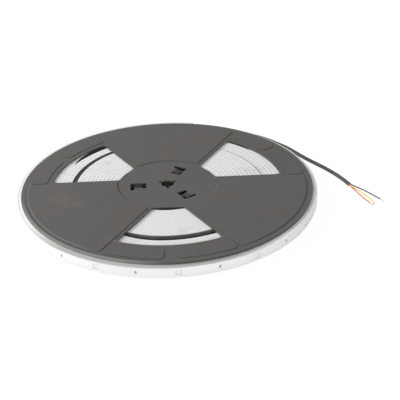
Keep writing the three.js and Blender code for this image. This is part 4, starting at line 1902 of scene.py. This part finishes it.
@dataclass
class InnerLead(Lead):
    """The inner strip's lead, held in the winding between the two strips."""

    height: float = 10.5 * MM
    gap: float = 0.2 * MM
    end_angle: float = 122
    core_end_angle: float = 111.5
    tip_end_angle: float = 108
    orbit: float = 0.85 * MM
    cap_gap: float = 0.2
    core_gap: float = 0.4

    def _channel(
        self, winding: Winding, angles: Point, shift: Point, step: float
    ) -> list[Place]:
        """Return places between two angles along the channel, against the turn inside it.

        Args:
            winding: The spiral that the channel follows.
            angles: First and last angle in degrees.
            shift: Offset outward and upward from the lead's middle.
            step: Degrees between places.

        Returns:
            The places.
        """
        start, end = angles
        count = max(2, round((start - end) / step))
        places = []
        for i in range(count + 1):
            angle = start + (end - start) * i / count
            below = winding.inner_end - 360 + winding.start_angle - angle
            radius = winding.outer_face(below) + self.gap + self.diameter / 2 + shift[0]
            places.append((*polar(radius, angle), self.height + shift[1]))
        return places

    def build(self, winding: Winding, cap_end: float) -> None:
        """Model and dress the lead, its cores and tips.

        Args:
            winding: The spiral that it follows.
            cap_end: Angle where its cap ends, in degrees.
        """
        jacket_angles = (cap_end - self.cap_gap, self.end_angle)
        jacket = self._channel(winding, jacket_angles, (0, 0), 4)
        lead = Bench.to_mesh(Bench.rod("inner_lead", jacket, self.diameter, 20))
        Bench.smooth(lead, 50)
        dress(lead, "lead_jacket", ["inner_lead_jacket"], self.jacket)
        core_angles = (self.end_angle + self.core_gap, self.core_end_angle)
        tip_angles = (self.core_end_angle, self.tip_end_angle)
        for index, (colour, material) in enumerate(self.cores.items()):
            turn = math.radians(90 + index * 120)
            shift = (self.orbit * math.cos(turn), self.orbit * math.sin(turn))
            places = self._channel(winding, core_angles, shift, 2)
            rod = Bench.rod(f"inner_{colour}_core", places, self.core_diameter, 12)
            core = Bench.to_mesh(rod)
            Bench.smooth(core, 50)
            dress(core, f"core_{colour}", [f"inner_core_{colour}"], material)
            places = self._channel(winding, tip_angles, shift, 1)
            tip = self.twisted_tip(f"inner_{colour}_tip", places)
            dress(tip, "tinned_wire", [f"inner_tinned_end_{colour}"], self.tin)


# Viewpoint, floor and lamps


@dataclass(frozen=True)
class Viewpoint:
    """The camera, worked out from the flange's outline."""

    elevation: float = 0.492146478
    distance: float = 903.649687 * MM
    focal_share: float = 900.490632 / 400
    pan: float = 0.0352842689
    tilt: float = 0.0198507753
    roll: float = 0.0404217357
    sensor: float = 36.0
    nearest: float = 0.01

    def build(self) -> None:
        """Make the camera and make it the scene's own."""
        Bench.clear()
        sine, cosine = math.sin(self.elevation), math.cos(self.elevation)
        place = Vector((0, -cosine, sine)) * self.distance
        right, forward = Vector((1, 0, 0)), -place.normalized()
        level = Matrix((right, right.cross(forward), -forward))
        turn = (
            Matrix.Rotation(self.roll, 3, "Z")
            @ Matrix.Rotation(self.tilt, 3, "X")
            @ Matrix.Rotation(self.pan, 3, "Y")
        )
        bpy.ops.object.camera_add()
        camera = bpy.context.object
        camera.name = "viewpoint"
        camera.data.sensor_width = self.sensor
        camera.data.lens = self.focal_share * self.sensor
        camera.data.clip_start = self.nearest
        rotation = (turn @ level).transposed().to_4x4()
        stand = Matrix.Translation(place + Vector((0, 0, UPPER_FACE_Z)))
        camera.matrix_world = stand @ rotation
        bpy.context.scene.camera = camera


@dataclass(frozen=True)
class Lamp:
    """A soft lamp that points at the reel."""

    name: str
    place: Place
    size: float
    power: float

    def build(self) -> None:
        """Add the lamp."""
        Bench.clear()
        bpy.ops.object.light_add(type="AREA", location=self.place)
        lamp = bpy.context.object
        lamp.name = self.name
        lamp.data.shape = "DISK"
        lamp.data.size = self.size
        lamp.data.energy = self.power
        lamp.rotation_mode = "QUATERNION"
        lamp.rotation_quaternion = (-Vector(self.place)).to_track_quat("-Z", "Y")


@dataclass(frozen=True)
class Studio:
    """A white floor and an even white room, with soft lamps."""

    room_light: float = 0.4
    floor_size: float = 6.0
    floor_white: float = 0.9
    floor_grey: Colour = (0.86, 0.86, 0.86)
    floor_glow: float = 1.05
    lamps: tuple[Lamp, ...] = (
        Lamp("key", (-1.3, 0.35, 0.75), 0.9, 22.0),
        Lamp("fill", (0.3, -1.8, 0.5), 1.2, 15.0),
    )

    def _floor_material(self) -> bpy.types.Material:
        """Return the floor's material, which the camera sees as near white."""
        shade = Shade("studio_floor")
        path = shade.node("ShaderNodeLightPath", {}, {}, "Is Camera Ray")
        seen = path.most(shade.beside(path, "Is Glossy Ray"))
        seen = seen.most(shade.beside(path, "Is Transmission Ray"))
        matte = shade.node("ShaderNodeBsdfDiffuse", {}, {"Color": self.floor_grey})
        glow = {"Color": (1.0, 1.0, 1.0), "Strength": self.floor_glow}
        white = shade.node("ShaderNodeEmission", {}, glow)
        share = seen * self.floor_white
        surface = shade.node("ShaderNodeMixShader", {}, {0: share, 1: matte, 2: white})
        return shade.close(surface)

    def _light_room(self) -> None:
        """Give the world an even light, which the camera sees as white."""
        world = bpy.data.worlds.new("studio_room")
        bpy.context.scene.world = world
        world.use_nodes = True
        tree = world.node_tree
        tree.nodes.clear()
        mix = tree.nodes.new("ShaderNodeMixShader")
        path = tree.nodes.new("ShaderNodeLightPath")
        tree.links.new(path.outputs["Is Camera Ray"], mix.inputs[0])
        for place, strength in enumerate((self.room_light, 1.0), 1):
            light = tree.nodes.new("ShaderNodeBackground")
            light.inputs["Color"].default_value = (1, 1, 1, 1)
            light.inputs["Strength"].default_value = strength
            tree.links.new(light.outputs[0], mix.inputs[place])
        output = tree.nodes.new("ShaderNodeOutputWorld")
        tree.links.new(mix.outputs[0], output.inputs["Surface"])

    def build(self) -> None:
        """Add the floor, the room's light and the lamps."""
        Bench.clear()
        bpy.ops.mesh.primitive_plane_add(size=self.floor_size)
        floor = Bench.settle(bpy.context.object, "studio_floor")
        floor.data.materials.append(self._floor_material())
        self._light_room()
        for lamp in self.lamps:
            lamp.build()


# Marks on this reel, drawn one by one. The rings, the spots and the gap line are painted shade,
# painted highlights and painted glare; the scratches, scuffs and ejector marks are the reel's
# own.

# Painted shade lines on the upper flange, darkest where the edges face away from the light: the
# crease before the rim, the rim's front edge, the hub circle and the right panel's edge.
PAINTED_SHADE_RINGS = (
    PaintedRingLine(141.7 * MM, 228, 48, 0.85),
    PaintedRingLine(144.7 * MM, 297, 38, 0.7),
    PaintedRingLine(49.6 * MM, 208, 44, 0.95, 0.8 * MM),
    PaintedRingLine(139.0 * MM, 352, 48, 0.65),
)
# Painted highlight lines on the upper flange, where edges face the light: the left panel's
# outer arc, the hub circle on the right and the front window's outer edge.
PAINTED_HIGHLIGHT_RINGS = (
    PaintedRingLine(138.4 * MM, 205, 42, 0.8),
    PaintedRingLine(50.1 * MM, 326, 34, 0.7, 0.6 * MM),
    PaintedRingLine(116.5 * MM, 270, 34, 0.6, 0.7 * MM),
)
SCRATCHES = (
    Scratch((-0.0735, -0.036), (-0.0705, -0.060)),
    Scratch((-0.066, -0.044), (-0.0585, -0.0475)),
    Scratch((-0.060, -0.0455), (-0.056, -0.0500)),
    Scratch((-0.0765, -0.0520), (-0.0735, -0.0480), strength=0.35),
    Scratch((-0.0425, -0.108), (-0.0375, -0.1065), 0.6 * MM, 0.8),
)
SCUFFS = (
    Scuff(-0.104, -0.026, 0.016, 0.014, -58),
    Scuff(-0.092, -0.036, 0.012, 0.012, -58),
)
EJECTOR_MARKS = ((-0.1252, 0.0407), (0.0272, -0.1288), (0.1252, 0.0407))
# Painted glare on the tops of the turns in the front window.
PAINTED_GLARE_SPOTS = (
    (-0.021, -0.0655, 0.0042, 0.0012),
    (0.002, -0.0725, 0.0028, 0.0012),
    (-0.018, -0.0845, 0.0034, 0.0012),
)
# Painted shade on the tops of the turns in dark corners of the three windows.
PAINTED_SHADE_SPOTS = (
    (0.0187, -0.0852, 0.0007, 0.0026),
    (-0.060, 0.0533, 0.0006, 0.006),
    (0.0865, 0.0755, 0.0025, 0.0008),
)
# Painted black line on the tops under the right window's far edge, for a shaded gap between the
# outer turns.
PAINTED_GAP_SHADE = PaintedRingLine(115.6 * MM, 50, 13, 0.97, 1.9 * MM)


def make_plastics() -> tuple[bpy.types.Material, ...]:
    """Return the plastic of the lower flange, of the upper flange and of the hub, which is
    painted near black as shade.
    """
    # The lower flange's plastic: no handling marks, but the painted rim highlight.
    plain = ReelPlastic("reel_plastic").make()
    # The upper flange's plastic: scratches, scuffs and ejector marks, with painted shade and
    # painted highlights.
    scuffed_with_painted_light = ReelPlastic(
        "reel_plastic_scuffed_with_painted_light",
        wall_shade_below=UPPER_FACE_Z - 0.15 * MM,
        scratches=SCRATCHES,
        painted_shade_rings=PAINTED_SHADE_RINGS,
        painted_highlight_rings=PAINTED_HIGHLIGHT_RINGS,
        scuffs=SCUFFS,
        ejector_marks=EJECTOR_MARKS,
    ).make()
    # Painted shade: the hub's plastic is the flanges' plastic made near black, for the shade
    # inside the reel.
    hub = ReelPlastic(
        "hub_plastic_painted_shade", (0.02, 0.02, 0.019), (0.028, 0.027, 0.026), (0.03, 0.026, 0.024)
    ).make()
    return plain, scuffed_with_painted_light, hub


def build_reel() -> None:
    """Model the two flanges and dress the hub."""
    plain, scuffed_with_painted_light, hub_plastic_painted_shade = make_plastics()
    Flange("upper_flange_moulding", UPPER_FACE_Z, False, scuffed_with_painted_light).build()
    Flange("lower_flange_moulding", LOWER_FACE_Z, True, plain).build()
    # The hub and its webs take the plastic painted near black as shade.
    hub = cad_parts["hub_core"]
    hub.data.materials.clear()
    hub.data.materials.append(hub_plastic_painted_shade)
    HubWebs(hub_plastic_painted_shade).build()


def build_strips(winding: Winding) -> None:
    """Model both rolls of strip, the parts in the outer face and the four end caps.

    Args:
        winding: The spiral that they follow.
    """
    silicone = Silicone(
        "strip_silicone",
        painted_glare_spots=PAINTED_GLARE_SPOTS,
        painted_shade_spots=PAINTED_SHADE_SPOTS,
        painted_shade_rings=(PAINTED_GAP_SHADE,),
    ).make()
    parts = LightParts(
        winding,
        Ceramic("package_housing", (0.78, 0.78, 0.77), (0.72, 0.72, 0.71), 0.34).make(),
        Ceramic("package_lens", (0.9, 0.89, 0.82), (0.88, 0.86, 0.76), 0.2).make(),
        Ceramic("package_metal", (0.75, 0.75, 0.74), (0.66, 0.66, 0.65), 0.35, 0.6).make(),
        Ceramic("chip_glaze", (0.26, 0.265, 0.27), (0.33, 0.33, 0.335), 0.3).make(),
    )
    # The second material paints near-black shade on the sides that face a gap.
    finish = (winding, silicone, PaintedBackShade("strip_painted_back_shade").make())
    inner_end = winding.inner_end
    outer_start, outer_end = winding.outer_start, winding.outer_end
    StripRoll("inner_strip_turns", 0, inner_end, *finish).build()
    StripRoll("outer_strip_turns", outer_start, outer_end, *finish).build(parts.pockets())
    parts.build()

    cap_silicone = Silicone("cap_silicone", (0.8, 0.805, 0.81), (0.7, 0.7, 0.71)).make()
    for name, wound, direction in (
        ("inner_strip_start_cap_moulding", 0.0, -1),
        ("inner_strip_lead_cap_moulding", inner_end, 1),
        ("outer_strip_start_cap_moulding", outer_start, -1),
        ("outer_strip_lead_cap_moulding", outer_end, 1),
    ):
        EndCap(name, wound, direction, winding, cap_silicone).build()


def main() -> None:
    """Build the scene, from the viewpoint and the cords to the lamps."""
    logging.basicConfig(level=logging.INFO, format="%(name)s %(message)s")
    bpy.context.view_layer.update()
    winding = Winding()
    Viewpoint().build()

    jacket = CableJacket("cable_jacket").make()
    tin = TinnedWire("tinned_wire").make()
    cores = {
        "black": CoreInsulation("core_black", (0.02, 0.021, 0.02), (0.04, 0.042, 0.04)).make(),
        "yellow": CoreInsulation("core_yellow", (0.93, 0.76, 0.11), (0.86, 0.66, 0.08)).make(),
        "red": CoreInsulation("core_red", (0.85, 0.2, 0.09), (0.72, 0.13, 0.06)).make(),
    }
    OuterLead(jacket, tin, cores).build()
    build_reel()
    build_strips(winding)

    cap_span = (EndCap.length + EndCap.gap) / winding.inner_face(winding.inner_end)
    cap_end = winding.angle(winding.inner_end) % 360 - math.degrees(cap_span)
    InnerLead(jacket, tin, cores).build(winding, cap_end)

    Studio().build()


if __name__ == "__main__":
    bpy.context.scene.view_settings.view_transform = "Standard"
    main()
